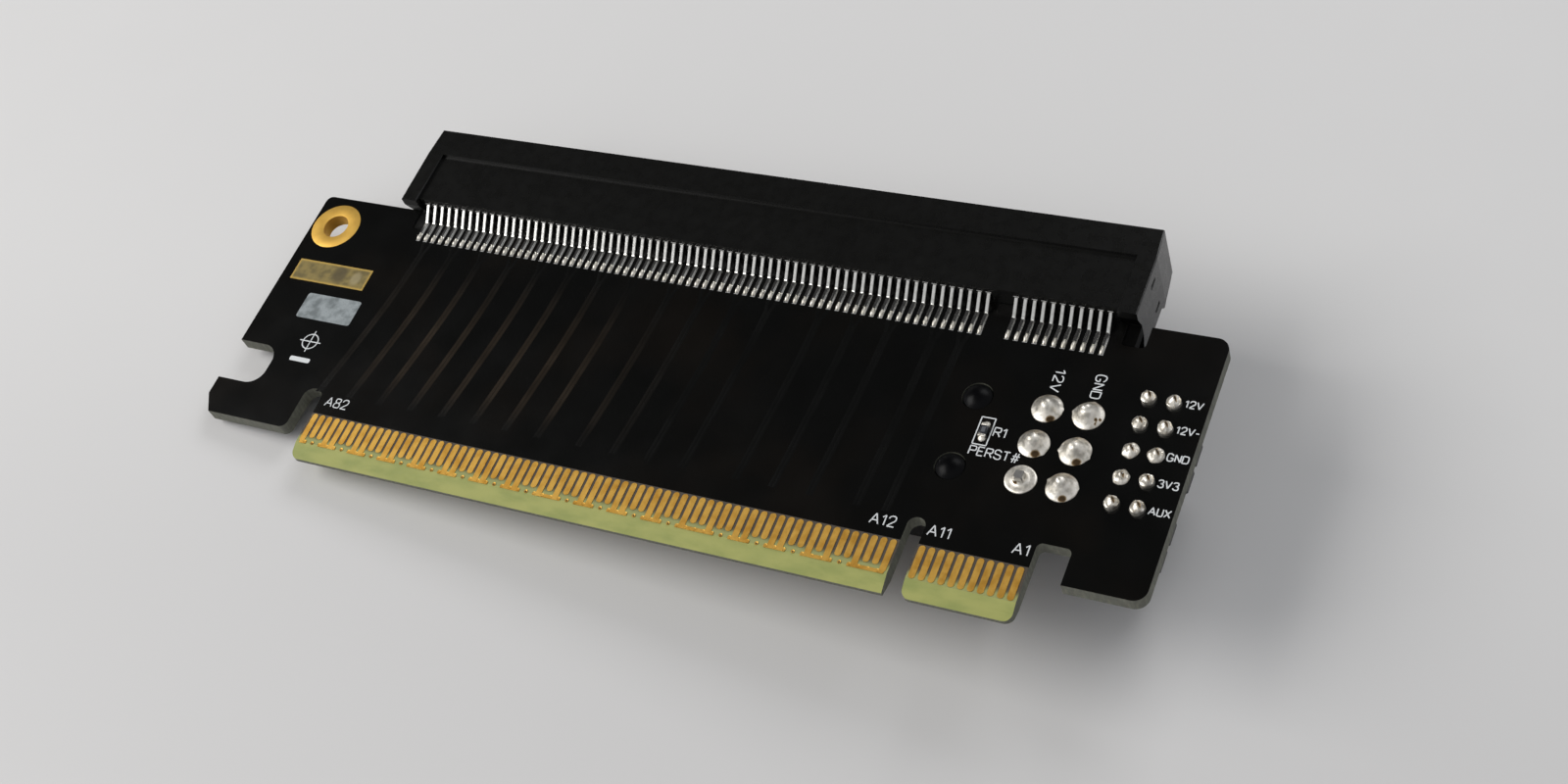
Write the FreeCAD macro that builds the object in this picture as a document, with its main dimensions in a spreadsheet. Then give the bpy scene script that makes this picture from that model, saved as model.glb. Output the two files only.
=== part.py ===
"""Edge-powered x16 riser card: board, straddle socket, power inlet, pin headers and jumper caps.

Frame: X runs along the card edge, towards contact 1; Y runs from the card edge up to the socket;
Z is the board's front side, which carries the contact numbers. The origin is the centre of the
key notch in X, the tip of the card edge in Y and the middle of the board's thickness in Z.
"""
import FreeCAD, Part
import os
from math import hypot
from types import SimpleNamespace

import Sketcher

SIZES = {
    # Board
    "board_thickness": 1.6,
    "board_height": 34.57,
    "top_right_radius": 1.4,
    "top_left_radius": 0.8,
    "slot_radius": 0.6,
    "tab_radius": 0.9,
    # Card edge: contacts, key notch, bevel
    "contact_pitch": 1.0,
    "contact_width": 0.68,
    "contact_length": 3.63,
    "contact_setback": 1.97,
    "contact_tip_cut": 0.18,
    "signal_trim": 0.63,
    "bar_width": 0.4,
    "plating": 0.05,
    "tab_margin": 0.65,
    "key_span": 3.0,
    "key_width": 1.9,
    "key_depth": 8.5,
    "bevel_height": 1.9,
    "tip_thickness": 0.5,
    # Right slot and foot
    "right_slot_width": 3.45,
    "right_slot_top": 8.5,
    "right_foot_length": 8.05,
    "right_foot_bottom": 4.63,
    # Left slot and foot
    "left_slot_width": 2.45,
    "left_slot_top": 8.7,
    "left_foot_length": 12.25,
    "left_foot_bottom": 3.13,
    "foot_bevel_across": 1.35,
    "foot_bevel_up": 2.27,
    # Retention notch in the left edge
    "notch_bottom": 7.67,
    "notch_width": 5.28,
    "notch_depth": 5.65,
    "notch_radius": 2.0,
    # Mounting hole in the top left corner
    "hole_radius": 1.6,
    "hole_from_left": 3.43,
    "hole_from_top": 4.12,
    "ring_radius": 3.15,
    # Bare gold patch beside the mounting hole
    "patch_from_left": 1.45,
    "patch_length": 10.5,
    "patch_from_ring": 2.1,
    "patch_width": 2.9,
    # Straddle socket
    "socket_end": 3.0,
    "socket_gap": 0.05,
    "socket_depth": 10.1,
    "socket_half_height": 3.5,
    "wall_recess": 0.4,
    "rim_depth": 3.6,
    "rim_taper": 0.25,
    "pillar_width": 2.05,
    "pillar_reach": 0.62,
    "pillar_tip_height": 1.0,
    "lip_drop": 1.6,
    "lip_front": 1.3,
    "mouth_depth": 8.0,
    "mouth_clearance": 0.1,
    "mouth_end_clearance": 0.15,
    "mouth_bevel": 0.5,
    "cell_width": 0.56,
    "cell_height": 1.75,
    "dimple_length": 1.4,
    "dimple_height": 0.4,
    "dimple_depth": 0.3,
    "dimple_from_rim": 1.45,
    "dimple_spacing": 3.9,
    # Socket pegs and the notches that take them
    "peg_notch_depth": 2.65,
    "peg_notch_radius": 0.5,
    "right_notch_from_contact": 1.6,
    "right_notch_width": 2.5,
    "left_notch_from_contact": 0.45,
    "left_notch_width": 1.3,
    "peg_clearance": 0.15,
    "peg_thickness": 1.3,
    # Socket spring contacts
    "lead_width": 0.39,
    "lead_thickness": 0.2,
    "lead_toe": 3.27,
    "lead_knee": 1.57,
    "lead_rise": 1.4,
    "lead_entry": 0.1,
    "spring_apex_from_mouth": 2.4,
    "spring_reach": 0.25,
    "spring_tip_from_mouth": 0.8,
    "spring_tip_lift": 0.55,
    "lead_solder_length": 1.0,
    "lead_solder_height": 0.3,
    "lead_solder_width": 0.56,
    # Power inlet on the back
    "power_pitch": 4.2,
    "power_first_column": 8.3,
    "power_middle_row": 18.95,
    "power_pin_width": 1.07,
    "power_pin_hole_radius": 0.9,
    "power_pin_stand_out": 1.25,
    "power_pin_tip_from_mouth": 2.2,
    "power_housing_from_column": 1.1,
    "power_housing_depth": 12.8,
    "power_housing_width": 13.8,
    "power_housing_height": 9.6,
    "power_cell_width": 3.5,
    "power_cell_depth": 9.8,
    "power_catch_width": 3.4,
    "power_catch_length": 3.0,
    "power_catch_height": 0.9,
    "power_catch_from_mouth": 2.6,
    "power_peg_from_column": 7.34,
    "power_peg_radius": 1.5,
    "power_peg_dome_radius": 2.1,
    "power_peg_stand_out": 0.55,
    "power_peg_hole_clearance": 0.1,
    "power_solder_radius": 1.62,
    "power_solder_height": 0.9,
    "power_solder_top_radius": 0.8,
    "flat_solder_height": 0.3,
    # Pin headers on the back
    "header_pitch": 2.54,
    "header_first_column": 17.66,
    "header_top_row": 26.27,
    "header_row_step": 3.048,
    "header_base_length": 5.08,
    "header_base_width": 2.5,
    "header_base_height": 2.5,
    "header_base_bevel": 0.45,
    "header_pin_width": 0.64,
    "header_pin_hole_radius": 0.5,
    "header_pin_stand_out": 0.95,
    "header_pin_reach": 5.0,
    "header_pin_taper": 0.5,
    "header_solder_radius": 0.78,
    "header_solder_height": 0.65,
    "header_solder_top_radius": 0.5,
    # Jumper caps
    "cap_length": 5.08,
    "cap_width": 2.4,
    "cap_height": 6.1,
    "cap_wall": 0.45,
    "cap_bevel": 0.35,
    "clip_height": 3.6,
    "clip_clearance": 0.03,
    # Chip resistor
    "resistor_column": 3.0,
    "resistor_row": 19.27,
    "resistor_length": 1.6,
    "resistor_width": 0.8,
    "resistor_height": 0.45,
    "resistor_end": 0.32,
    "resistor_solder_length": 0.4,
    "resistor_solder_height": 0.3,
}

RIGHT_CONTACTS = 11          # contacts between the key notch and the tab's right end
LEFT_CONTACTS = 71           # contacts between the key notch and the tab's left end
POWER_COLUMNS = 2
POWER_ROWS = 3
FLAT_JOINT = (0, 2)          # column and row of the power pin that has a flat solder joint
HEADERS = 5
CAPPED_HEADERS = (0, 1, 3, 4)

# Runs of front contacts, by number, that a thin plated bar joins below their ends: the grounds.
BARRED_CONTACTS = (
    (12, 15), (18, 20), (23, 24), (27, 28), (31, 34), (37, 38), (41, 42), (45, 46), (49, 51),
    (54, 55), (58, 59), (62, 63), (66, 67), (70, 71), (74, 75), (78, 79), (82, 82),
)
GROUND_CONTACTS = (
    12, 15, 18, 20, 23, 24, 27, 28, 31, 34, 37, 38, 41, 42, 45, 46, 49, 51,
    54, 55, 58, 59, 62, 63, 66, 67, 70, 71, 74, 75, 78, 79, 82,
)


class Size:
    """A length that knows its value and the sheet expression that gives it."""

    def __init__(self, value, text):
        self.value = value
        self.text = text

    def __add__(self, other):
        other = as_size(other)
        return Size(self.value + other.value, f"({self.text} + {other.text})")

    def __sub__(self, other):
        other = as_size(other)
        return Size(self.value - other.value, f"({self.text} - {other.text})")

    def __mul__(self, factor):
        return Size(self.value * factor, f"({self.text} * {factor})")

    def __truediv__(self, factor):
        return Size(self.value / factor, f"({self.text} / {factor})")

    def __neg__(self):
        return Size(-self.value, f"(0 - {self.text})")


def as_size(value):
    return value if isinstance(value, Size) else Size(value, f"({value})")


doc = FreeCAD.newDocument("RiserCard")
sheet = doc.addObject("Spreadsheet::Sheet", "Sizes")
for row, (alias, value) in enumerate(SIZES.items(), start=1):
    sheet.set(f"A{row}", alias)
    sheet.set(f"B{row}", str(value))
    sheet.setAlias(f"B{row}", alias)
doc.recompute()
size = SimpleNamespace(**{alias: Size(sheet.get(alias), f"Sizes.{alias}") for alias in SIZES})

ZERO = as_size(0)
CUT_MARGIN = as_size(1)      # how far a cutting tool runs past the face that it opens


# ---------------------------------------------------------------- modelling helpers

def bind(item, name, value):
    """Tie one property to the sheet."""
    item.setExpression(name, as_size(value).text)


def box(name, x, y, z):
    """A block between the low and high value on each axis."""
    item = doc.addObject("Part::Box", name)
    for side, axis, (low, high) in zip(("Length", "Width", "Height"), "xyz", (x, y, z)):
        bind(item, side, as_size(high) - low)
        bind(item, f"Placement.Base.{axis}", low)
    return item


def round_rod(name, x, y, z, radius):
    """An upright cylinder."""
    item = doc.addObject("Part::Cylinder", name)
    bind(item, "Radius", radius)
    bind(item, "Height", z[1] - z[0])
    for axis, value in zip("xyz", (x, y, z[0])):
        bind(item, f"Placement.Base.{axis}", value)
    return item


def cone(name, x, y, z, low_radius, high_radius):
    item = doc.addObject("Part::Cone", name)
    bind(item, "Radius1", low_radius)
    bind(item, "Radius2", high_radius)
    bind(item, "Height", z[1] - z[0])
    for axis, value in zip("xyz", (x, y, z[0])):
        bind(item, f"Placement.Base.{axis}", value)
    return item


def fuse(name, items):
    item = doc.addObject("Part::MultiFuse", name)
    item.Shapes = items
    item.Refine = True
    return item


def group(name, items):
    """Separate solids kept side by side in one sub-part."""
    item = doc.addObject("Part::Compound", name)
    item.Links = items
    return item


def cut(name, base, tool):
    item = doc.addObject("Part::Cut", name)
    item.Base = base
    item.Tool = tool
    return item


def common(name, items):
    item = doc.addObject("Part::MultiCommon", name)
    item.Shapes = items
    return item


def shaped(name, shape):
    """A sub-part whose shape is worked out here from the sheet's values."""
    item = doc.addObject("Part::Feature", name)
    item.Shape = shape
    return item


def sketch_on(body, plane, name, offset):
    """An empty sketch, parallel to one of the body's own planes."""
    sketch = body.newObject("Sketcher::SketchObject", name)
    role = f"{plane}_Plane"
    support = [item for item in body.Origin.OriginFeatures if item.Role == role][0]
    sketch.AttachmentSupport = [(support, "")]
    sketch.MapMode = "FlatFace"
    bind(sketch, "AttachmentOffset.Base.z", offset)
    return sketch


def place_point(sketch, line, end, x, y):
    """Hold one end of a line, or a circle's centre, at a place given by the sheet."""
    for kind, value in (("DistanceX", x), ("DistanceY", y)):
        index = sketch.addConstraint(Sketcher.Constraint(kind, line, end, value.value))
        sketch.setExpression(f"Constraints[{index}]", value.text)


def prism(name, plane, outline, span):
    """A PartDesign body: a straight-sided outline padded from span's first value to its second."""
    outline = [(as_size(x), as_size(y)) for x, y in outline]
    body = doc.addObject("PartDesign::Body", name)
    low, high = (as_size(value) for value in span)
    if plane == "XZ":        # this plane faces -Y, so its offsets count the other way
        low, high = -high, -low
    sketch = sketch_on(body, plane, f"{name}_outline", low)
    corners = [FreeCAD.Vector(x.value, y.value, 0) for x, y in outline]
    for start, end in zip(corners, corners[1:] + corners[:1]):
        sketch.addGeometry(Part.LineSegment(start, end), False)
    for line in range(len(outline)):
        joined = Sketcher.Constraint("Coincident", line, 2, (line + 1) % len(outline), 1)
        sketch.addConstraint(joined)
    for line, (x, y) in enumerate(outline):
        place_point(sketch, line, 1, x, y)
    pad = body.newObject("PartDesign::Pad", f"{name}_pad")
    pad.Profile = sketch
    bind(pad, "Length", high - low)
    return body


def round_corners(body, name, corners, radius):
    """Round the upright edges of the body's last feature that stand at the given corners."""
    doc.recompute()
    base = body.Tip
    chosen = []
    for index, edge in enumerate(base.Shape.Edges, start=1):
        middle = edge.CenterOfMass
        upright = abs(edge.BoundBox.ZLength - size.board_thickness.value) < 1e-6
        near = any(hypot(middle.x - x.value, middle.y - y.value) < 1e-4 for x, y in corners)
        if upright and near and edge.BoundBox.XLength < 1e-6:
            chosen.append(f"Edge{index}")
    fillet = body.newObject("PartDesign::Fillet", name)
    fillet.Base = (base, chosen)
    bind(fillet, "Radius", radius)


def solid_between(outline, along, start, width):
    """A solid from an outline in the YZ plane, from start over width along X."""
    points = [FreeCAD.Vector(start, y, z) for y, z in outline]
    face = Part.Face(Part.makePolygon(points + points[:1]))
    return face.extrude(along * width)


def strip_outline(path, thickness):
    """The outline of a bent strip that follows path, with its corners mitred."""
    sides = []
    for sign in (1, -1):
        side = []
        for index, (y, z) in enumerate(path):
            normals = []
            for first, last in ((index - 1, index), (index, index + 1)):
                if first >= 0 and last < len(path):
                    across, up = path[last][0] - path[first][0], path[last][1] - path[first][1]
                    length = hypot(across, up)
                    normals.append((-up / length, across / length))
            normal = [sum(values) / len(normals) for values in zip(*normals)]
            scale = sign * thickness / 2 / (normal[0] ** 2 + normal[1] ** 2)
            side.append((y + normal[0] * scale, z + normal[1] * scale))
        sides.append(side)
    return sides[0] + sides[1][::-1]


# ---------------------------------------------------------------- places that pieces share

front = size.board_thickness / 2
back = -front


def contact_place(number):
    """The X of a contact, counted from 1 at the tab's right end, by its sheet sizes."""
    if number <= RIGHT_CONTACTS:
        return size.key_span / 2 + size.contact_pitch * (RIGHT_CONTACTS - number)
    return -(size.key_span / 2 + size.contact_pitch * (number - RIGHT_CONTACTS - 1))


CONTACTS = range(1, RIGHT_CONTACTS + LEFT_CONTACTS + 1)
first_contact = contact_place(1)
last_contact = contact_place(RIGHT_CONTACTS + LEFT_CONTACTS)
tab_right = first_contact + size.tab_margin
tab_left = last_contact - size.tab_margin
foot_right = tab_right + size.right_slot_width
foot_left = tab_left - size.left_slot_width
board_right = foot_right + size.right_foot_length
board_left = foot_left - size.left_foot_length
board_top = size.board_height

right_notch = (first_contact + size.right_notch_from_contact,
               first_contact + size.right_notch_from_contact + size.right_notch_width)
left_notch = (last_contact - size.left_notch_from_contact - size.left_notch_width,
              last_contact - size.left_notch_from_contact)
peg_notch_bottom = board_top - size.peg_notch_depth

hole_x = board_left + size.hole_from_left
hole_y = board_top - size.hole_from_top

power_columns = [size.power_first_column + size.power_pitch * n for n in range(POWER_COLUMNS)]
power_rows = [size.power_middle_row + size.power_pitch * (1 - n) for n in range(POWER_ROWS)]
power_peg_x = size.power_first_column - size.power_peg_from_column
power_peg_rows = (power_rows[0], power_rows[-1])

header_columns = [size.header_first_column, size.header_first_column + size.header_pitch]
header_rows = [size.header_top_row - size.header_row_step * n for n in range(HEADERS)]
header_middle = size.header_first_column + size.header_pitch / 2


# ---------------------------------------------------------------- board

def make_board():
    """The laminate: outline with its tab, feet, slots and notches, then holes and edge bevel."""
    key_right, key_left = size.key_width / 2, -(size.key_width / 2)
    notch_in = board_left + size.notch_depth
    notch_top = size.notch_bottom + size.notch_width
    blank = prism("board_blank", "XY", [
        (board_left, board_top),
        (left_notch[0], board_top), (left_notch[0], peg_notch_bottom),
        (left_notch[1], peg_notch_bottom), (left_notch[1], board_top),
        (right_notch[0], board_top), (right_notch[0], peg_notch_bottom),
        (right_notch[1], peg_notch_bottom), (right_notch[1], board_top),
        (board_right, board_top),
        (board_right, size.right_foot_bottom), (foot_right, size.right_foot_bottom),
        (foot_right, size.right_slot_top), (tab_right, size.right_slot_top),
        (tab_right, ZERO), (key_right, ZERO),
        (key_right, size.key_depth), (key_left, size.key_depth),
        (key_left, ZERO), (tab_left, ZERO),
        (tab_left, size.left_slot_top), (foot_left, size.left_slot_top),
        (foot_left, size.left_foot_bottom),
        (board_left + size.foot_bevel_across, size.left_foot_bottom),
        (board_left, size.left_foot_bottom + size.foot_bevel_up),
        (board_left, size.notch_bottom), (notch_in, size.notch_bottom),
        (notch_in, notch_top), (board_left, notch_top),
    ], (back, front))
    nearly_half = 0.49       # two corners rounded by nearly half a slot's width leave it round
    for name, corners, radius in (
        ("top_left_round", [(board_left, board_top)], size.top_left_radius),
        ("top_right_round", [(board_right, board_top), (board_right, size.right_foot_bottom)],
         size.top_right_radius),
        ("right_slot_round", [(foot_right, size.right_slot_top), (tab_right, size.right_slot_top)],
         size.slot_radius),
        ("left_slot_round", [(foot_left, size.left_slot_top), (tab_left, size.left_slot_top)],
         size.left_slot_width * nearly_half),
        ("key_round", [(key_right, size.key_depth), (key_left, size.key_depth)],
         size.key_width * nearly_half),
        ("tab_round", [(tab_right, ZERO), (key_right, ZERO), (tab_left, ZERO),
                       (foot_left, size.left_foot_bottom)], size.tab_radius),
        ("notch_round", [(notch_in, size.notch_bottom), (notch_in, notch_top)],
         size.notch_radius),
        ("left_peg_round", [(x, peg_notch_bottom) for x in left_notch], size.peg_notch_radius),
        ("right_peg_round", [(x, peg_notch_bottom) for x in right_notch], size.peg_notch_radius),
    ):
        round_corners(blank, name, corners, radius)

    through = (back - CUT_MARGIN, front + CUT_MARGIN)
    tools = [round_rod("mounting_hole", hole_x, hole_y, through, size.hole_radius)]
    for n, y in enumerate(power_peg_rows, start=1):
        radius = size.power_peg_radius + size.power_peg_hole_clearance
        tools.append(round_rod(f"power_peg_hole_{n}", power_peg_x, y, through, radius))
    for n, (x, y) in enumerate(power_places(), start=1):
        tools.append(round_rod(f"power_pin_hole_{n}", x, y, through, size.power_pin_hole_radius))
    for n, (x, y) in enumerate(header_places(), start=1):
        tools.append(round_rod(f"header_pin_hole_{n}", x, y, through, size.header_pin_hole_radius))
    tip = size.tip_thickness / 2
    for side, sign in (("front", 1), ("back", -1)):
        tools.append(prism(f"edge_bevel_{side}", "YZ", [
            (ZERO, tip * sign),
            (size.bevel_height, front * sign),
            (size.bevel_height, (front + CUT_MARGIN) * sign),
            (-CUT_MARGIN, (front + CUT_MARGIN) * sign),
            (-CUT_MARGIN, tip * sign),
        ], (tab_left - CUT_MARGIN, tab_right + CUT_MARGIN)))
    return cut("pcb", blank, fuse("board_cuts", tools))


def power_places():
    return [(x, y) for x in power_columns for y in power_rows]


def header_places():
    return [(x, y) for y in header_rows for x in header_columns]


def contact_pad(number, end, low, high):
    """One plated edge contact: a bar with its corners cut, from end up to the contact's top."""
    x = contact_place(number).value
    half, tip_cut = size.contact_width.value / 2, size.contact_tip_cut.value
    top = size.contact_setback.value + size.contact_length.value
    points = [
        (x - half, end + tip_cut), (x - half + tip_cut, end), (x + half - tip_cut, end),
        (x + half, end + tip_cut), (x + half, top - tip_cut), (x + half - tip_cut, top),
        (x - half + tip_cut, top), (x - half, top - tip_cut),
    ]
    corners = [FreeCAD.Vector(px, py, low) for px, py in points]
    face = Part.Face(Part.makePolygon(corners + corners[:1]))
    return face.extrude(FreeCAD.Vector(0, 0, high - low))


def make_front_contacts():
    """Front contacts: the grounds reach lower and are joined by bars, the signals stop short."""
    low = front.value
    high = low + size.plating.value
    setback, trim = size.contact_setback.value, size.signal_trim.value
    pads = {}
    for number in CONTACTS:
        long_pad = number <= RIGHT_CONTACTS or number in GROUND_CONTACTS
        pads[number] = contact_pad(number, setback if long_pad else setback + trim, low, high)
    half_pitch, half_bar = size.contact_pitch.value / 2, size.bar_width.value / 2
    solids = []
    for first, last in BARRED_CONTACTS:
        right = contact_place(first).value + half_bar
        if first > RIGHT_CONTACTS + 1:
            right += half_pitch
        left = contact_place(last).value - half_pitch - half_bar
        if last == RIGHT_CONTACTS + LEFT_CONTACTS:
            left = contact_place(last).value - half_bar
        bar = Part.makeBox(right - left, 2 * half_bar, high - low,
                           FreeCAD.Vector(left, setback - half_bar, low))
        grounds = [pads.pop(n) for n in range(first, last + 1) if n in GROUND_CONTACTS]
        solids += bar.multiFuse(grounds).removeSplitter().Solids
    solids += pads.values()
    return shaped("edge_contacts_front", Part.makeCompound(solids))


def make_back_contacts():
    high = back.value
    pads = [contact_pad(n, size.contact_setback.value, high - size.plating.value, high)
            for n in CONTACTS]
    return shaped("edge_contacts_back", Part.makeCompound(pads))


def make_hole_plating():
    """A plated ring on each face of the board around the mounting hole."""
    rings = []
    for side, low, high in (("front", front, front + size.plating),
                            ("back", back - size.plating, back)):
        disc = round_rod(f"{side}_ring_disc", hole_x, hole_y, (low, high), size.ring_radius)
        bore = round_rod(f"{side}_ring_bore", hole_x, hole_y,
                         (low - CUT_MARGIN, high + CUT_MARGIN), size.hole_radius)
        rings.append(cut(f"{side}_ring", disc, bore))
    return group("mounting_hole_rings", rings)


def make_gold_patch():
    left = board_left + size.patch_from_left
    top = hole_y - size.ring_radius - size.patch_from_ring
    return box("gold_patch", (left, left + size.patch_length), (top - size.patch_width, top),
               (front, front + size.plating))


# ---------------------------------------------------------------- straddle socket

socket_right = first_contact + size.socket_end
socket_left = last_contact - size.socket_end
socket_front = board_top + size.socket_gap
socket_mouth = socket_front + size.socket_depth
rim_front = socket_mouth - size.rim_depth
mouth_half = front + size.mouth_clearance
pillar_right = socket_right - size.pillar_width
pillar_left = socket_left + size.pillar_width


def make_socket_housing():
    """The moulded body: a thin-walled middle, end pillars, a rim round the mouth, a lip, pegs."""
    wall = size.socket_half_height - size.wall_recess
    tall = size.socket_half_height
    middle = box("socket_middle", (socket_left + size.rim_taper, socket_right - size.rim_taper),
                 (socket_front, rim_front), (-wall, wall))
    rim = prism("socket_rim", "XY", [
        (socket_left, rim_front), (socket_right, rim_front),
        (socket_right - size.rim_taper, socket_mouth),
        (socket_left + size.rim_taper, socket_mouth),
    ], (-tall, tall))
    lip = prism("socket_lip", "YZ", [
        (rim_front - size.lip_front, -wall), (rim_front - size.lip_front, -tall),
        (rim_front, -(tall + size.lip_drop)), (socket_mouth, -tall), (socket_mouth, -wall),
    ], (socket_left + size.rim_taper, socket_right - size.rim_taper))
    reach = socket_front - size.pillar_reach
    knuckle = tall - size.pillar_tip_height
    pillar_outline = [
        (rim_front, tall), (reach, tall), (reach, knuckle),
        (socket_front, front), (socket_front, back),
        (reach, -knuckle), (reach, -tall), (rim_front, -tall),
    ]
    solids = [middle, rim, lip,
              prism("socket_pillar_right", "YZ", pillar_outline, (pillar_right, socket_right)),
              prism("socket_pillar_left", "YZ", pillar_outline, (socket_left, pillar_left))]
    peg_tip = peg_notch_bottom + size.peg_clearance
    peg_z = (-(size.peg_thickness / 2), size.peg_thickness / 2)
    solids.append(box("socket_peg_right", (right_notch[0] + size.peg_clearance, socket_right),
                      (peg_tip, rim_front), peg_z))
    solids.append(box("socket_peg_left",
                      (left_notch[0] + size.peg_clearance, left_notch[1] - size.peg_clearance),
                      (peg_tip, rim_front), peg_z))

    mouth_floor = socket_mouth - size.mouth_depth
    mouth_right = tab_right + size.mouth_end_clearance
    mouth_left = tab_left - size.mouth_end_clearance
    rib = size.key_width / 2 - size.mouth_end_clearance
    mouth_z = (-mouth_half, mouth_half)
    past_mouth = socket_mouth + CUT_MARGIN
    tools = []
    for side, ends in (("right", (rib, mouth_right)), ("left", (mouth_left, -rib))):
        tools.append(box(f"socket_mouth_{side}", ends, (mouth_floor, past_mouth), mouth_z))
    spread = mouth_half + size.mouth_bevel
    tools.append(prism("socket_mouth_bevel", "YZ", [
        (socket_mouth - size.mouth_bevel, mouth_half), (socket_mouth, spread),
        (past_mouth, spread), (past_mouth, -spread), (socket_mouth, -spread),
        (socket_mouth - size.mouth_bevel, -mouth_half),
    ], (mouth_left, mouth_right)))
    for name, sign in (("upper", 1), ("lower", -1)):
        middle_z = size.dimple_spacing / 2 * sign
        dimple_back = rim_front - size.dimple_from_rim
        for end, ends in (("right", (socket_right - size.dimple_depth, socket_right + CUT_MARGIN)),
                          ("left", (socket_left - CUT_MARGIN, socket_left + size.dimple_depth))):
            tools.append(box(f"{name}_dimple_{end}", ends,
                             (dimple_back - size.dimple_length, dimple_back),
                             (middle_z - size.dimple_height / 2,
                              middle_z + size.dimple_height / 2)))
    open_body = cut("socket_body", fuse("socket_solid", solids), fuse("socket_cuts", tools))
    cells = shaped("socket_cells", Part.makeCompound(contact_cells()))
    return cut("socket_housing", open_body, cells)


def contact_cells():
    """The cells that open to the mouth on both faces, one for each spring contact."""
    width, height = size.cell_width.value, size.cell_height.value
    low_y = socket_front.value - CUT_MARGIN.value
    length = socket_mouth.value - size.mouth_bevel.value - low_y
    cells = []
    for number in CONTACTS:
        left = contact_place(number).value - width / 2
        for low_z in (mouth_half.value, -mouth_half.value - height):
            cells.append(Part.makeBox(width, length, height, FreeCAD.Vector(left, low_y, low_z)))
    return cells


def lead_path(sign):
    """The bent spring contact's middle line: toe, knee, entry, apex and tip, as Y and Z."""
    thick = size.lead_thickness.value
    seat = front.value + thick / 2
    entry = socket_front.value + size.lead_entry.value
    apex = mouth_half.value - size.spring_reach.value + thick / 2
    mouth = socket_mouth.value
    return [
        (socket_front.value - size.lead_toe.value, sign * seat),
        (socket_front.value - size.lead_knee.value, sign * seat),
        (entry, sign * (seat + size.lead_rise.value)),
        (mouth - size.spring_apex_from_mouth.value, sign * apex),
        (mouth - size.spring_tip_from_mouth.value, sign * (apex + size.spring_tip_lift.value)),
    ]


def make_socket_contacts(name, sign):
    """One row of spring contacts, each a separate solid."""
    outline = strip_outline(lead_path(sign), size.lead_thickness.value)
    width = size.lead_width.value
    along = FreeCAD.Vector(1, 0, 0)
    leads = [solid_between(outline, along, contact_place(n).value - width / 2, width)
             for n in CONTACTS]
    return shaped(name, Part.makeCompound(leads))


def make_socket_solder(name, sign):
    """The small fillet of solder at the end of each lead's toe."""
    toe = socket_front.value - size.lead_toe.value
    length, height = size.lead_solder_length.value, size.lead_solder_height.value
    width, seat = size.lead_solder_width.value, front.value
    outline = [(toe - length, sign * seat), (toe, sign * seat), (toe, sign * (seat + height))]
    along = FreeCAD.Vector(1, 0, 0)
    drops = [solid_between(outline, along, contact_place(n).value - width / 2, width)
             for n in CONTACTS]
    return shaped(name, Part.makeCompound(drops))


# ---------------------------------------------------------------- power inlet

power_back_wall = size.power_first_column - size.power_housing_from_column
power_mouth = power_back_wall - size.power_housing_depth
power_bottom = back - size.power_housing_height
power_levels = [back - size.power_housing_height / 2 + size.power_pitch / 2,
                back - size.power_housing_height / 2 - size.power_pitch / 2]


def make_power_housing():
    """A right-angle inlet of two rows of three cells, on the back, with its mouth to the left."""
    half_width = size.power_housing_width / 2
    shell = box("power_shell", (power_mouth, power_back_wall),
                (size.power_middle_row - half_width, size.power_middle_row + half_width),
                (power_bottom, back))
    catch_front = power_mouth + size.power_catch_from_mouth
    catch_back = catch_front + size.power_catch_length
    catch_half = size.power_catch_width / 2
    catch = prism("power_catch", "XZ", [
        (catch_front, power_bottom + size.cap_wall), (catch_front, power_bottom),
        (catch_back, power_bottom - size.power_catch_height),
        (catch_back, power_bottom + size.cap_wall),
    ], (size.power_middle_row - catch_half, size.power_middle_row + catch_half))
    solids = [shell, catch]
    peg_top = front + size.power_peg_stand_out
    for n, y in enumerate(power_peg_rows, start=1):
        shank = round_rod(f"power_peg_shank_{n}", power_peg_x, y,
                          (back - size.cap_wall, peg_top + CUT_MARGIN), size.power_peg_radius)
        dome = doc.addObject("Part::Sphere", f"power_peg_dome_{n}")
        bind(dome, "Radius", size.power_peg_dome_radius)
        for axis, value in zip("xyz", (power_peg_x, y, peg_top - size.power_peg_dome_radius)):
            bind(dome, f"Placement.Base.{axis}", value)
        solids.append(common(f"power_peg_{n}", [shank, dome]))
    half_cell, half_pin = size.power_cell_width / 2, size.power_pin_width / 2
    tools = []
    for level_name, level in zip(("near", "far"), power_levels):
        for n, y in enumerate(power_rows, start=1):
            tools.append(box(f"{level_name}_cell_{n}",
                             (power_mouth - CUT_MARGIN, power_mouth + size.power_cell_depth),
                             (y - half_cell, y + half_cell), (level - half_cell, level + half_cell)))
            tools.append(box(f"{level_name}_pin_hole_{n}",
                             (power_mouth, power_back_wall + CUT_MARGIN),
                             (y - half_pin, y + half_pin), (level - half_pin, level + half_pin)))
    return cut("power_housing", fuse("power_solid", solids), fuse("power_cells", tools))


def make_power_pin(number, column, level, y):
    """A square pin, bent once: out of its cell, past the back wall and up through the board."""
    half = size.power_pin_width / 2
    tip = power_mouth + size.power_pin_tip_from_mouth
    top = front + size.power_pin_stand_out
    bend = size.power_pin_width * 0.6
    return prism(f"power_pin_{number}", "XZ", [
        (tip, level + half / 2), (tip, level - half / 2), (tip + half, level - half),
        (column + half - bend, level - half), (column + half, level - half + bend),
        (column + half, top - half), (column + half / 2, top), (column - half / 2, top),
        (column - half, top - half), (column - half, level + half), (tip + half, level + half),
    ], (y - half, y + half))


def make_power_pins():
    pins = []
    for column, level in zip(power_columns, power_levels):
        for y in power_rows:
            pins.append(make_power_pin(len(pins) + 1, column, level, y))
    return pins


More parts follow.
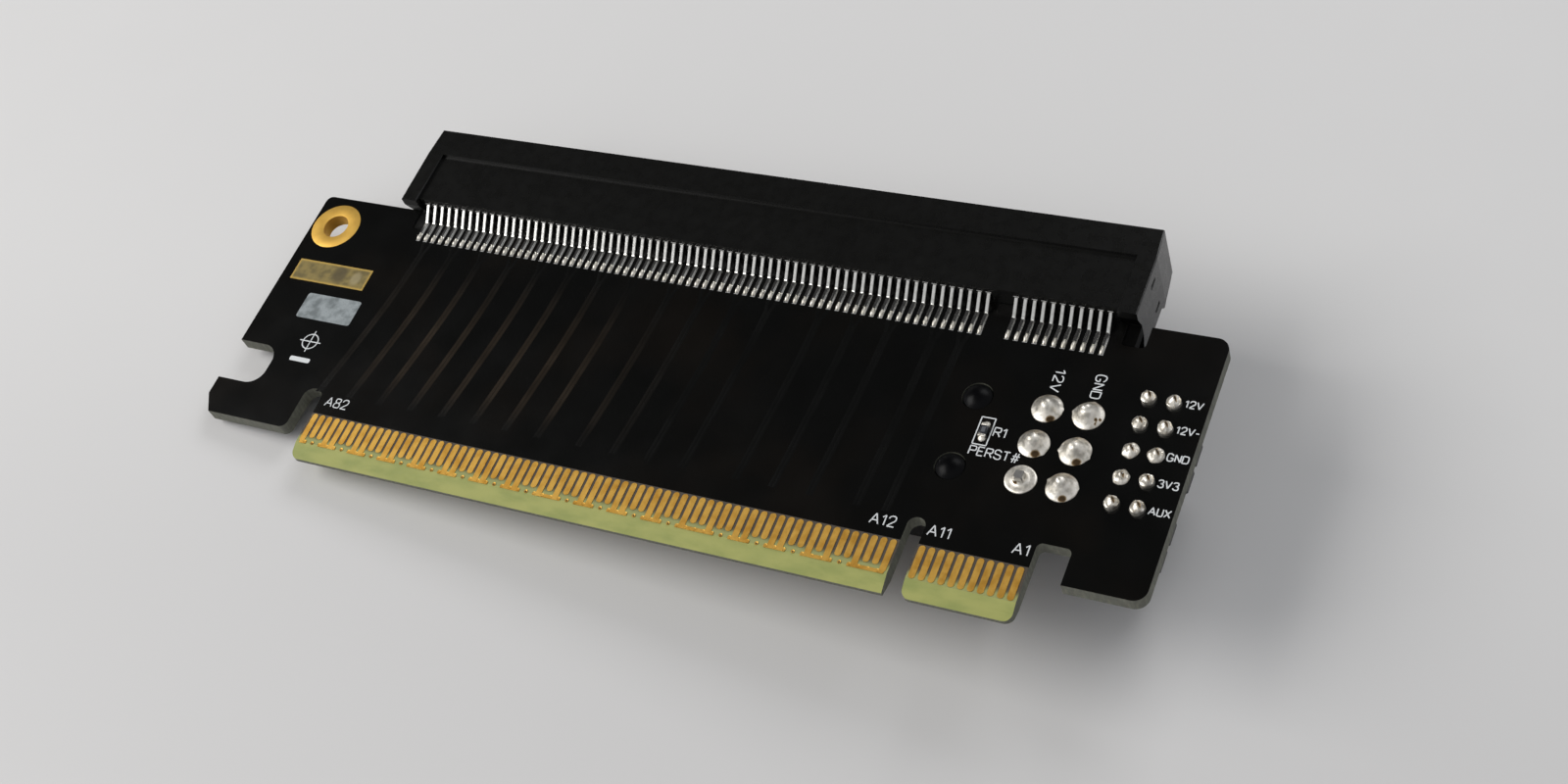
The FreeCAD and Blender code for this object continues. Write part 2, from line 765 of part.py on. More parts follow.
def make_power_solder():
    """Solder cones round the power pins on the front; one of them is only a flat disc."""
    joints = []
    half = size.power_pin_width / 2
    for number, (x, y) in enumerate(power_places(), start=1):
        place = (power_columns.index(x), power_rows.index(y))
        flat = place == FLAT_JOINT
        height = size.flat_solder_height if flat else size.power_solder_height
        top_radius = size.power_solder_radius * 0.92 if flat else size.power_solder_top_radius
        body = cone(f"power_solder_cone_{number}", x, y, (front, front + height),
                    size.power_solder_radius, top_radius)
        hole = box(f"power_solder_hole_{number}", (x - half, x + half), (y - half, y + half),
                   (front - CUT_MARGIN, front + height + CUT_MARGIN))
        joints.append(cut(f"power_solder_{number}", body, hole))
    return group("power_solder_joints", joints)


# ---------------------------------------------------------------- pin headers and jumper caps

header_base_bottom = back - size.header_base_height
pin_bottom = header_base_bottom - size.header_pin_reach


def make_header_base(number, y):
    """The moulded spacer of one two-pin header, bevelled at its corners, holed for its pins."""
    half_length, half_width = size.header_base_length / 2, size.header_base_width / 2
    bevel = size.header_base_bevel
    left, right = header_middle - half_length, header_middle + half_length
    block = prism(f"header_block_{number}", "XY", [
        (left, y - half_width + bevel), (left + bevel, y - half_width),
        (right - bevel, y - half_width), (right, y - half_width + bevel),
        (right, y + half_width - bevel), (right - bevel, y + half_width),
        (left + bevel, y + half_width), (left, y + half_width - bevel),
    ], (header_base_bottom, back))
    half_pin = size.header_pin_width / 2
    holes = [box(f"header_{number}_hole_{n}", (x - half_pin, x + half_pin),
                 (y - half_pin, y + half_pin), (header_base_bottom - CUT_MARGIN, back + CUT_MARGIN))
             for n, x in enumerate(header_columns, start=1)]
    return cut(f"header_{number}_base", block, group(f"header_{number}_holes", holes))


def make_header_pin(header, number, x, y):
    """A square pin with a wedge at each end."""
    half = size.header_pin_width / 2
    top = front + size.header_pin_stand_out
    taper, blunt = size.header_pin_taper, half / 2
    return prism(f"header_{header}_pin_{number}", "XZ", [
        (x - half, pin_bottom + taper), (x - blunt, pin_bottom), (x + blunt, pin_bottom),
        (x + half, pin_bottom + taper), (x + half, top - taper), (x + blunt, top),
        (x - blunt, top), (x - half, top - taper),
    ], (y - half, y + half))


def make_header_solder():
    joints = []
    half = size.header_pin_width / 2
    for number, (x, y) in enumerate(header_places(), start=1):
        z = (front, front + size.header_solder_height)
        body = cone(f"header_solder_cone_{number}", x, y, z,
                    size.header_solder_radius, size.header_solder_top_radius)
        hole = box(f"header_solder_hole_{number}", (x - half, x + half), (y - half, y + half),
                   (front - CUT_MARGIN, z[1] + CUT_MARGIN))
        joints.append(cut(f"header_solder_{number}", body, hole))
    return group("header_solder_joints", joints)


def make_jumper_cap(number, y):
    """A moulded cap over both pins of a header, open towards the board."""
    half_length, half_width = size.cap_length / 2, size.cap_width / 2
    top, bottom = header_base_bottom, header_base_bottom - size.cap_height
    bevel = size.cap_bevel
    shell = prism(f"jumper_shell_{number}", "XZ", [
        (header_middle - half_length, top), (header_middle - half_length, bottom + bevel),
        (header_middle - half_length + bevel, bottom),
        (header_middle + half_length - bevel, bottom),
        (header_middle + half_length, bottom + bevel), (header_middle + half_length, top),
    ], (y - half_width, y + half_width))
    wall = size.cap_wall
    pocket = box(f"jumper_pocket_{number}",
                 (header_middle - half_length + wall, header_middle + half_length - wall),
                 (y - half_width + wall, y + half_width - wall),
                 (bottom + wall, top + CUT_MARGIN))
    return cut(f"jumper_cap_{number}", shell, pocket)


def make_jumper_clip(number, y):
    """The sprung metal bridge inside a cap, gripping both pins."""
    wall = size.cap_wall
    floor = header_base_bottom - size.cap_height + wall
    half_length = size.cap_length / 2 - wall
    half_width = size.cap_width / 2 - wall
    block = box(f"clip_block_{number}", (header_middle - half_length, header_middle + half_length),
                (y - half_width, y + half_width), (floor, floor + size.clip_height))
    grip = size.header_pin_width / 2 + size.clip_clearance
    holes = [box(f"clip_{number}_hole_{n}", (x - grip, x + grip), (y - grip, y + grip),
                 (floor - CUT_MARGIN, floor + size.clip_height + CUT_MARGIN))
             for n, x in enumerate(header_columns, start=1)]
    return cut(f"jumper_clip_{number}", block, group(f"clip_{number}_holes", holes))


# ---------------------------------------------------------------- chip resistor

def make_resistor():
    """A two-ended chip lying along Y, with a metal cap and a solder fillet at each end."""
    x, y = size.resistor_column, size.resistor_row
    half_width, half_length = size.resistor_width / 2, size.resistor_length / 2
    top = front + size.resistor_height
    across = (x - half_width, x + half_width)
    core = half_length - size.resistor_end
    body = box("resistor_body", across, (y - core, y + core), (front, top))
    ends = group("resistor_terminals", [
        box("resistor_terminal_low", across, (y - half_length, y - core), (front, top)),
        box("resistor_terminal_high", across, (y + core, y + half_length), (front, top)),
    ])
    fillets = []
    for name, sign in (("low", -1), ("high", 1)):
        face = y + half_length * sign
        foot = face + size.resistor_solder_length * sign
        fillets.append(prism(f"resistor_solder_{name}", "YZ", [
            (face, front), (foot, front), (face, front + size.resistor_solder_height),
        ], across))
    return [body, ends, group("resistor_solder", fillets)]


# ---------------------------------------------------------------- assembly and export

def make_parts():
    parts = [make_board(), make_front_contacts(), make_back_contacts(), make_hole_plating(),
             make_gold_patch(), make_socket_housing(),
             make_socket_contacts("socket_contacts_front", 1),
             make_socket_contacts("socket_contacts_back", -1),
             make_socket_solder("socket_solder_front", 1),
             make_socket_solder("socket_solder_back", -1),
             make_power_housing(), *make_power_pins(), make_power_solder()]
    for index, y in enumerate(header_rows):
        header = index + 1
        parts.append(make_header_base(header, y))
        parts += [make_header_pin(header, n, x, y) for n, x in enumerate(header_columns, start=1)]
        if index in CAPPED_HEADERS:
            parts += [make_jumper_cap(header, y), make_jumper_clip(header, y)]
    parts.append(make_header_solder())
    parts += make_resistor()
    return parts


def export(parts):
    """Check every object of the document, then write one STEP file for each sub-part."""
    doc.recompute()
    for item in doc.Objects:
        if {"Invalid", "Error"} & set(item.State):
            raise RuntimeError(f"{item.Name} failed: {item.State}")
    os.makedirs("parts", exist_ok=True)
    for item in parts:
        item.Label = item.Name
        if item.Shape.isNull() or not item.Shape.isValid() or not item.Shape.Solids:
            raise RuntimeError(f"{item.Name} has no valid solid")
        item.Shape.exportStep(f"parts/{item.Label}.step")
        print(item.Label, len(item.Shape.Solids), round(item.Shape.Volume, 3))


export(make_parts())
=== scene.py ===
"""Finish of the riser card: mask, print, plating, solder, leads and mouldings round the CAD frame.

Lengths are in millimetres until a piece is finished; build_piece() turns them into metres.
"""
import math

import bmesh
import bpy
from bmesh.types import BMEdge, BMFace, BMVert
from mathutils import Matrix, Vector, noise


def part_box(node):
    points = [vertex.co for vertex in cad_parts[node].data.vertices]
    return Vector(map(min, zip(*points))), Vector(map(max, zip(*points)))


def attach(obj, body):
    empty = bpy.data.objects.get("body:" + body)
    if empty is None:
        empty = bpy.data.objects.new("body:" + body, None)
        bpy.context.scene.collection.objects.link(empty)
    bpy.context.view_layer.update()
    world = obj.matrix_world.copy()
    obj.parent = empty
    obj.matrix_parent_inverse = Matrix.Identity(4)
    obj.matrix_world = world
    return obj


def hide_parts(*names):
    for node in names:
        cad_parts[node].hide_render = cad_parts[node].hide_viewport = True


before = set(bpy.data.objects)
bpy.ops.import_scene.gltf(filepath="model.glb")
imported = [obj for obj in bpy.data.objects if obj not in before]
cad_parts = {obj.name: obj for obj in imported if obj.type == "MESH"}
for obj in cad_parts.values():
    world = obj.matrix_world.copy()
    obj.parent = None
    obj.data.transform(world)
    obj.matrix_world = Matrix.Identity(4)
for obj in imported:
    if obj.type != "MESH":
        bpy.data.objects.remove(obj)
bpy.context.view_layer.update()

MM = 0.001
BODY = "root"
FULL_TURN = 2 * math.pi
SHARP, CORNER = math.radians(32), math.radians(30)


# ---- places, from the frame

def box_mm(node):
    low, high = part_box(node)
    return low / MM, high / MM


board_low, board_high = box_mm("pcb")
FRONT, BACK = board_high.z, board_low.z
tab_low, tab_high = box_mm("edge_contacts_front")
lead_low, lead_high = box_mm("socket_contacts_front")
socket_low, socket_high = box_mm("socket_housing")
inlet_low, inlet_high = box_mm("power_housing")

PITCH = 1.0
CONTACTS = 82
KEY_CONTACTS = 11                     # contacts to the right of the key notch
LEAD_WIDTH = 0.39
LEAD_THICK = 0.2
FIRST_CONTACT = lead_high.x - LEAD_WIDTH / 2
KEY_GAP = 2 * PITCH                   # two contact places lost to the key notch
SOCKET_FACE = board_high.y + 0.05     # where the leads leave the moulding
LEAD_TOE = lead_low.y
RIM_Y = 41.12                         # where the socket's thicker rim begins
POWER_PIN = 1.07
CATCH_RISE = 0.9                      # how far the latch stands under the inlet
HEADER_PIN_SUNK = 0.42                # how far the header pins end under their CAD tops
POWER_PINS = (1, 2, 3, 4, 5, 6)
HEADERS = (1, 2, 3, 4, 5)
CAPPED = (1, 2, 4, 5)


def contact_x(number):
    """The X of contact number 1 to 82, counted from the right."""
    gap = 0 if number <= KEY_CONTACTS else KEY_GAP
    return FIRST_CONTACT - PITCH * (number - 1) - gap


def power_places():
    """The middle of each power pin where it comes through the board."""
    places = []
    for number in POWER_PINS:
        low, high = box_mm(f"power_pin_{number}")
        places.append((high.x - POWER_PIN / 2, (low.y + high.y) / 2))
    return places


def header_pins():
    return [f"header_{header}_pin_{pin}" for header in HEADERS for pin in (1, 2)]


# ---- materials

class Nodes:
    """A node tree and short ways to fill it."""

    def __init__(self, tree):
        self.tree = tree

    def add(self, kind, **settings):
        node = self.tree.nodes.new(kind)
        for name, value in settings.items():
            setattr(node, name, value)
        return node

    def put(self, socket, value):
        if isinstance(value, bpy.types.NodeSocket):
            self.tree.links.new(value, socket)
        else:
            socket.default_value = value

    def maths(self, operation, *values):
        node = self.add("ShaderNodeMath", operation=operation)
        for socket, value in zip(node.inputs, values):
            self.put(socket, value)
        return node.outputs[0]

    def times(self, product, *factors):
        for factor in factors:
            product = self.maths("MULTIPLY", product, factor)
        return product

    def step(self, value, low, high):
        """0 below low, 1 above high, smooth between; low may be the larger one."""
        node = self.add("ShaderNodeMapRange", interpolation_type="SMOOTHSTEP")
        rising = low < high
        for name, number in (("Value", value), ("From Min", min(low, high)),
                             ("From Max", max(low, high)), ("To Min", 0.0 if rising else 1.0),
                             ("To Max", 1.0 if rising else 0.0)):
            self.put(node.inputs[name], number)
        return node.outputs["Result"]

    def spread(self, value, low, high):
        """A 0 to 1 value spread from low to high."""
        node = self.add("ShaderNodeMapRange")
        for name, number in (("Value", value), ("To Min", low), ("To Max", high)):
            self.put(node.inputs[name], number)
        return node.outputs["Result"]

    def mix(self, factor, first, second):
        node = self.add("ShaderNodeMix", data_type="RGBA")
        self.put(node.inputs["Factor"], factor)
        for socket, value in ((node.inputs[6], first), (node.inputs[7], second)):
            self.put(socket, (*value, 1) if isinstance(value, tuple) else value)
        return node.outputs[2]


class Finish(Nodes):
    """A Principled material and the nodes that feed it. Patterns are on Object coordinates."""

    def __init__(self, name, colour, metallic=0.0, **sockets):
        self.material = bpy.data.materials.new(name)
        self.material.use_nodes = True
        super().__init__(self.material.node_tree)
        self.shader = self.tree.nodes["Principled BSDF"]
        self.feed("Base Color", (*colour, 1))
        self.feed("Metallic", metallic)
        for socket, value in sockets.items():
            self.feed(socket.replace("_", " "), value)
        self.coordinates = self.add("ShaderNodeTexCoord").outputs
        self.normal = None

    def feed(self, name, value):
        self.put(self.shader.inputs[name], value)

    def axis(self, name, coordinates="Object"):
        node = self.add("ShaderNodeSeparateXYZ")
        self.put(node.inputs[0], self.coordinates[coordinates])
        return node.outputs[name]

    def stretched(self, stretch):
        node = self.add("ShaderNodeMapping")
        self.put(node.inputs["Vector"], self.coordinates["Object"])
        node.inputs["Scale"].default_value = stretch
        return node.outputs["Vector"]

    def texture(self, kind, output, size_mm, vector, **inputs):
        node = self.add(kind)
        self.put(node.inputs["Vector"], vector)
        node.inputs["Scale"].default_value = 1 / (size_mm * MM)
        for name, value in inputs.items():
            node.inputs[name].default_value = value
        return node.outputs[output]

    def grain(self, size_mm, detail=2.0, stretch=None):
        """Noise whose lumps are about size_mm across."""
        vector = self.stretched(stretch) if stretch else self.coordinates["Object"]
        return self.texture("ShaderNodeTexNoise", "Fac", size_mm, vector, Detail=detail)

    def cells(self, size_mm):
        return self.texture("ShaderNodeTexVoronoi", "Distance", size_mm,
                            self.coordinates["Object"])

    def patches(self, size_mm, detail, limits, first, second, stretch=None):
        """The first colour with patches of the second, about size_mm across."""
        grain = self.grain(size_mm, detail, stretch)
        return self.mix(self.step(grain, *limits) if limits else grain, first, second)

    def colour(self, value):
        self.feed("Base Color", value)

    def roughen(self, size_mm, detail, low, high, stretch=None):
        self.feed("Roughness", self.spread(self.grain(size_mm, detail, stretch), low, high))

    def bump(self, height, depth_mm, strength=1.0):
        node = self.add("ShaderNodeBump")
        node.inputs["Strength"].default_value = strength
        node.inputs["Distance"].default_value = depth_mm * MM
        self.put(node.inputs["Height"], height)
        if self.normal is not None:
            self.put(node.inputs["Normal"], self.normal)
        self.normal = node.outputs["Normal"]
        self.feed("Normal", self.normal)

    def grit(self, size_mm, detail, depth_mm, strength, stretch=None):
        self.bump(self.grain(size_mm, detail, stretch), depth_mm, strength)


MASK_BLACK = (0.0019, 0.0020, 0.0018)
MASK_WARM = (0.0040, 0.0032, 0.0024)
MASK_GLOSS = 0.38
MASK_MARGIN_UP, MASK_MARGIN_SIDE = 0.12, 0.6          # bare laminate past the contacts
# painted sheen colour for the mask lines on the left of the board
SHEEN_BROWN = (0.026, 0.018, 0.011)
LAMINATE_PALE = (0.325, 0.335, 0.10)
LAMINATE_GREEN = (0.24, 0.27, 0.075)
SHADED_LAMINATE_SIDE = (0.118, 0.12, 0.097)
LAMINATE_PLY = (0.09, 0.092, 0.07)
LAMINATE_FIBRE = (0.17, 0.172, 0.135)
LAMINATE_DARK = (0.060, 0.048, 0.036)
LAMINATE_OLIVE = (0.26, 0.275, 0.105)
NOTCH_SHADE = (0.012, 0.012, 0.011)
GOLD = (0.66, 0.40, 0.088)
GOLD_DEEP = (0.52, 0.275, 0.045)
RING_GOLD = (0.74, 0.475, 0.11)
RING_DEEP = (0.66, 0.41, 0.09)
RIM_GOLD = (0.60, 0.42, 0.12)
SCUFFED, SCUFFED_DARK = (0.30, 0.245, 0.11), (0.16, 0.14, 0.08)
TIN = (0.80, 0.795, 0.78)
TIN_WORN = (0.66, 0.64, 0.59)
STRIP_LIGHT, STRIP_DARK = (0.66, 0.65, 0.62), (0.50, 0.49, 0.46)
SOLDER = (0.92, 0.88, 0.80)
# greys for the solder's darker patches: partly dull solder, partly painted dark reflection
SOLDER_DULL_AND_DARK_REFLECTION = (0.68, 0.645, 0.57)
SOLDER_GREY = (0.54, 0.51, 0.445)
FLUX_AMBER = (0.36, 0.25, 0.12)
FLUX_BROWN = (0.075, 0.048, 0.026)
INK = (0.62, 0.64, 0.65)
FAINT_INK = (0.075, 0.08, 0.09)
THIN_INK, THINNER_INK, WORN_INK = (0.27, 0.30, 0.31), (0.125, 0.145, 0.15), (0.17, 0.19, 0.20)
GLAZE, GLAZE_LIGHT = (0.010, 0.011, 0.014), (0.030, 0.031, 0.036)
BORE_SHADE = (0.012, 0.009, 0.006)


def board_finish():
    """Black mask on both faces, bare laminate round the contacts, routed edges greyed with painted
    shade on their upright sides and near black in the notches, a pale lit chamfer.
    """
    look = Finish("board_finish", MASK_BLACK, Specular_IOR_Level=MASK_GLOSS)
    x, y = look.axis("X"), look.axis("Y")
    facing = look.maths("ABSOLUTE", look.axis("Z", "Normal"))
    on_face = look.maths("GREATER_THAN", facing, 0.97)

    middle, half = (tab_low.x + tab_high.x) / 2, (tab_high.x - tab_low.x) / 2
    aside = look.maths("ABSOLUTE", look.maths("SUBTRACT", x, middle * MM))
    bare = look.times(look.maths("LESS_THAN", y, (tab_high.y + MASK_MARGIN_UP) * MM),
                      look.maths("LESS_THAN", aside, (half + MASK_MARGIN_SIDE) * MM))
    ragged = look.maths("ADD", y, look.times(look.grain(0.8), 0.4 * MM))
    inner_plane = look.step(ragged, 2.5 * MM, 3.5 * MM)
    weave = look.spread(look.grain(0.16, 1, stretch=(1, 0.35, 1)), 0.0, 0.35)
    laminate = look.mix(inner_plane, LAMINATE_OLIVE, LAMINATE_DARK)
    laminate = look.mix(weave, laminate, LAMINATE_PALE)
    laminate = look.mix(inner_plane, laminate, LAMINATE_DARK)
    mask = look.patches(14, 3, (0.42, 0.72), MASK_BLACK, MASK_WARM)
    top = look.mix(bare, mask, laminate)

    plies = look.add("ShaderNodeTexWave", wave_type="BANDS", bands_direction="Z")
    look.put(plies.inputs["Vector"], look.coordinates["Object"])
    plies.inputs["Scale"].default_value = 620
    plies.inputs["Distortion"].default_value = 1.5
    # the upright sides: grey laminate as painted shade, with its plies and fibres
    side = look.mix(look.spread(plies.outputs["Fac"], 0.0, 0.45), SHADED_LAMINATE_SIDE, LAMINATE_PLY)
    side = look.patches(0.35, 3, (0.4, 0.75), side, LAMINATE_FIBRE, stretch=(1, 1, 0.3))
    # painted shade: the upright sides above y 26, but for the card's right end, go near black, as
    # in the socket's notches
    notch_shade = look.times(look.step(y, 25 * MM, 26 * MM),
                          look.maths("LESS_THAN", x, (board_high.x - 1) * MM))
    side = look.mix(notch_shade, side, NOTCH_SHADE)
    bevel = look.patches(1.6, 3, (0.35, 0.75), LAMINATE_PALE, LAMINATE_GREEN,
                         stretch=(0.4, 1, 1))
    # painted light and shade by facing: the chamfer takes the pale laminate as if lit, the upright
    # sides the shaded grey
    edge = look.mix(look.maths("GREATER_THAN", facing, 0.2), side, bevel)
    look.colour(look.mix(on_face, edge, top))

    masked = look.times(on_face, look.maths("SUBTRACT", 1.0, bare))
    satin = look.times(masked, look.spread(look.grain(5, 4), 0.16, 0.27))
    raw = look.times(look.maths("SUBTRACT", 1.0, masked),
                     look.spread(look.grain(0.3), 0.55, 0.75))
    look.feed("Roughness", look.maths("ADD", satin, raw))
    look.grit(0.9, 2, 0.006, 0.5)
    look.grit(0.12, 2, 0.006, 0.4)
    return look.material


def trace_finish():
    """Mask where it runs over a copper line, browner on the left part of the board: painted sheen
    of the lamp's reflection there.
    """
    look = Finish("mask_over_copper", MASK_BLACK, Specular_IOR_Level=MASK_GLOSS)
    x, y = look.axis("X"), look.axis("Y")
    # painted sheen: the lines turn brown in a patch on the left of the board, where the lamp's
    # reflection lies
    tinted = look.times(look.step(x, -30 * MM, -48 * MM), look.step(x, -76 * MM, -64 * MM),
                      look.step(y, 30 * MM, 18 * MM), look.step(y, 8 * MM, 13 * MM),
                      look.spread(look.grain(4, 3), 0.2, 1.0))
    look.colour(look.mix(tinted, MASK_BLACK, SHEEN_BROWN))
    look.roughen(4, 3, 0.2, 0.32)
    look.grit(0.5, 2, 0.004, 0.5)
    return look.material


def simple_finish(name, colours, gloss, grit, metallic=1.0):
    """Two colours in patches, uneven gloss and a fine grit, each given as its grain's settings."""
    look = Finish(name, colours[-1], metallic)
    look.colour(look.patches(*colours))
    look.roughen(*gloss)
    look.grit(*grit)
    return look.material


def gold_finish(name, roughness, light, deep):
    return simple_finish(name, (1.3, 3, (0.35, 0.75), light, deep),
                         (0.35, 3, roughness - 0.08, roughness + 0.12),
                         (0.09, 2, 0.004, 0.35, (1, 0.25, 1)))


def print_finish(name, ink):
    thin = tuple(0.72 * part for part in ink)
    return simple_finish(name, (0.12, 3, (0.55, 0.8), ink, thin), (0.2, 2, 0.5, 0.7),
                         (0.07, 2, 0.003, 0.5), metallic=0.0)


def strip_finish():
    return simple_finish("tinned_strip", (0.5, 3, (0.45, 0.8), STRIP_LIGHT, STRIP_DARK),
                         (0.22, 3, 0.15, 0.27, (3, 0.4, 1)), (0.07, 2, 0.003, 0.4, (1, 0.15, 1)))


def pin_finish():
    return simple_finish("tinned_pin", (0.7, 3, None, TIN, TIN_WORN),
                         (0.15, 3, 0.22, 0.42, (1, 1, 0.2)), (0.08, 2, 0.003, 0.4, (1, 1, 0.2)))


def resistor_finish():
    return simple_finish("resistor_glaze", (0.2, 2, None, GLAZE, GLAZE_LIGHT),
                         (0.1, 2, 0.2, 0.35), (0.15, 2, 0.004, 0.5), metallic=0.0)


# Spots on the gold patch: middle, reach, how strong, colour
PATCH_SPOTS = [((-79.0, 24.0), 1.3, 0.8, (0.085, 0.08, 0.065)),
               ((-76.6, 23.7), 0.9, 0.6, (0.46, 0.41, 0.27))]
PATCH_RIM = 0.4


def patch_finish():
    """Bare gold, scuffed dull but for its rim, with a dark and a pale spot."""
    look = Finish("patch_gold", GOLD, metallic=1.0)
    inside = 0.9
    for name, low, high in zip("XY", *box_mm("gold_patch")):
        place = look.axis(name)
        inside = look.times(inside, look.step(place, low * MM, (low + PATCH_RIM) * MM),
                            look.step(place, high * MM, (high - PATCH_RIM) * MM))
    tinted = look.patches(0.9, 4, (0.35, 0.7), SCUFFED, SCUFFED_DARK)
    squeeze = 0.75
    for (x, y), reach, strength, colour in PATCH_SPOTS:
        away = look.add("ShaderNodeVectorMath", operation="DISTANCE")
        look.put(away.inputs[0], look.stretched((1, squeeze, 0)))
        away.inputs[1].default_value = (x * MM, y * squeeze * MM, 0)
        spot = look.step(away.outputs["Value"], reach * MM, 0.45 * reach * MM)
        tinted = look.mix(look.times(spot, strength), tinted, colour)
    look.colour(look.mix(inside, RIM_GOLD, tinted))
    look.roughen(0.5, 3, 0.42, 0.6)
    look.grit(0.12, 2, 0.004, 0.4)
    return look.material


def solder_finish(name, dull_and_dark_reflection, facets):
    """Reflowed solder: satin skin in small facets, its darker patches partly dull solder and partly
    painted dark reflection; brown flux where it pooled, with painted shade and reflection carried
    in the same attribute.
    """
    look = Finish(name, SOLDER, metallic=1.0)
    flux_and_shade = look.add("ShaderNodeAttribute", attribute_name="flux_and_shade").outputs["Fac"]
    # flux_and_shade holds the real flux pools and the painted shade and dark reflection on the
    # joints; all of it takes the flux's colours
    pooled = look.maths("ADD", flux_and_shade, look.times(look.grain(0.3, 3), 0.4))
    stain = look.mix(look.step(pooled, 0.6, 1.0), FLUX_AMBER, FLUX_BROWN)
    # darker patches in the skin: partly dull solder, partly painted dark reflection of its facets
    skin = look.patches(0.8, 2, (0.38, 0.7), SOLDER, dull_and_dark_reflection)
    look.colour(look.mix(look.step(pooled, 0.35, 0.8), skin, stain))
    look.roughen(0.3, 4, 0.24, 0.66)
    look.bump(look.cells(0.5), 0.03, 0.5 * facets)
    look.grit(0.35, 2, 0.03, 0.7 * facets)
    look.grit(0.1, 2, 0.006, 0.5)
    return look.material


def moulding_finish(name, dark, roughness, gloss):
    """Black moulded plastic: fine eroded texture, faint flow marks along its length."""
    look = Finish(name, dark, Specular_IOR_Level=gloss)
    flow = look.grain(3.5, 3, stretch=(0.25, 1, 1))
    look.colour(look.mix(flow, dark, tuple(1.7 * part for part in dark)))
    look.roughen(1.2, 4, roughness - 0.06, roughness + 0.08)
    look.grit(0.08, 2, 0.006, 0.5)
    look.bump(flow, 0.012, 0.4)
    return look.material


def block_finish():
    """Thinly printed ink: grey where the mask shows through it."""
    look = Finish("thin_ink", THIN_INK)
    ink = look.patches(1.3, 4, (0.38, 0.66), THIN_INK, THINNER_INK)
    look.colour(look.patches(0.2, 3, (0.5, 0.8), ink, WORN_INK))
    look.roughen(0.3, 2, 0.45, 0.65)
    look.grit(0.1, 2, 0.004, 0.5)
    return look.material


def bore_shade_finish():
    """Painted shade of a via's bore: a dark disc where the hole is."""
    look = Finish("via_bore_shade", BORE_SHADE)
    look.roughen(0.05, 2, 0.4, 0.6)
    look.grit(0.04, 1, 0.004, 0.5)
    return look.material


# ---- making pieces

def put_in_scene(name, data):
    thing = bpy.data.objects.new(name, data)
    bpy.context.scene.collection.objects.link(thing)
    return thing


def mesh_of(bm, name="part"):
    mesh = bpy.data.meshes.new(name)
    bm.to_mesh(mesh)
    bm.free()
    return mesh


def build_piece(name, bm, materials, stands_for=(), sharp=SHARP, all_round=True):
    """Turn a mesh in millimetres into a finished piece that rides on the card."""
    bmesh.ops.scale(bm, vec=(MM, MM, MM), verts=bm.verts)
    if all_round:
        for face in bm.faces:
            face.smooth = True
    for edge in bm.edges:
        edge.smooth = edge.calc_face_angle(math.pi) < sharp
    mesh = mesh_of(bm, name)
    if mesh.has_custom_normals:           # a CAD node's own, of no use once its edges are rounded
        mesh.attributes.remove(mesh.attributes["custom_normal"])
    for material in materials:
        mesh.materials.append(material)
    piece = put_in_scene(name, mesh)
    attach(piece, BODY)
    if stands_for:
        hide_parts(*stands_for)


def outward(bm):
    bmesh.ops.recalc_face_normals(bm, faces=bm.faces)
    return bm


def shift(bm, x, y, z=0.0, verts=None):
    bmesh.ops.translate(bm, vec=(x, y, z), verts=bm.verts if verts is None else verts)


def turn(bm, degrees, axis):
    bmesh.ops.rotate(bm, cent=(0, 0, 0), verts=bm.verts,
                     matrix=Matrix.Rotation(math.radians(degrees), 3, axis))


def new_items(result, kind, key="geom"):
    return [item for item in result[key] if isinstance(item, kind)]


def join(whole, part, places=(Matrix(),)):
    """Add a part to a mesh at every place, each given as a matrix."""
    pattern = mesh_of(part)
    for place in places:
        start = len(whole.verts)
        whole.from_mesh(pattern)
        whole.verts.ensure_lookup_table()
        bmesh.ops.transform(whole, matrix=place, verts=whole.verts[start:])
    bpy.data.meshes.remove(pattern)
    return whole


def add_block(bm, low, high, rounding=0.0, segments=2, edges=None):
    """A block between two corners, its edges rounded; edges picks which ones."""
    low, high = Vector(low), Vector(high)
    made = bmesh.ops.create_cube(bm, size=1.0)["verts"]
    bmesh.ops.scale(bm, vec=high - low, verts=made)
    shift(bm, *(low + high) / 2, made)
    if rounding:
        chosen = list(dict.fromkeys(edge for vert in made for edge in vert.link_edges))
        if edges:
            chosen = [edge for edge in chosen if edges(edge)]
        round_edges(bm, chosen, rounding, segments)


def round_edges(bm, edges, offset, segments):
    """Rounded edges; the flat faces between them stay flat in shading."""
    made = bmesh.ops.bevel(bm, geom=edges, offset=offset, offset_type="OFFSET",
                           segments=segments, profile=0.5, affect="EDGES", material=-1,
                           clamp_overlap=True)
    for face in made["faces"]:
        width = 2 * face.calc_area() / face.calc_perimeter()
        if width < offset:                # a strip of the rounding, not a wall beside it
            face.smooth = True


def is_upright(edge):
    across = edge.verts[0].co - edge.verts[1].co
    return abs(across.z) > 0.9 * across.length


def merged_copy(node):
    """A CAD node as a clean mesh in millimetres: doubles merged, flat faces made whole."""
    bm = bmesh.new()
    bm.from_mesh(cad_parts[node].data)
    bmesh.ops.scale(bm, vec=(1 / MM, 1 / MM, 1 / MM), verts=bm.verts)
    bmesh.ops.remove_doubles(bm, verts=bm.verts, dist=0.001)
    bmesh.ops.dissolve_limit(bm, angle_limit=math.radians(1), verts=bm.verts, edges=bm.edges)
    for face in bm.faces:
        face.smooth = False
    return bm


def rounded_copy(node, offset, segments, chosen=lambda edge: True):
    """A CAD node with its corner edges rounded, or those that a test picks."""
    bm = merged_copy(node)
    round_edges(bm, [edge for edge in bm.edges
                     if len(edge.link_faces) == 2 and edge.calc_face_angle(0) > CORNER
                     and chosen(edge)], offset, segments)
    return bm


def middle_of(edge):
    return (edge.verts[0].co + edge.verts[1].co) / 2


def from_sides(middle, low, high, axis):
    """How far a point is from the nearer of two sides of a box."""
    return min(middle[axis] - low[axis], high[axis] - middle[axis])


# ---- plating

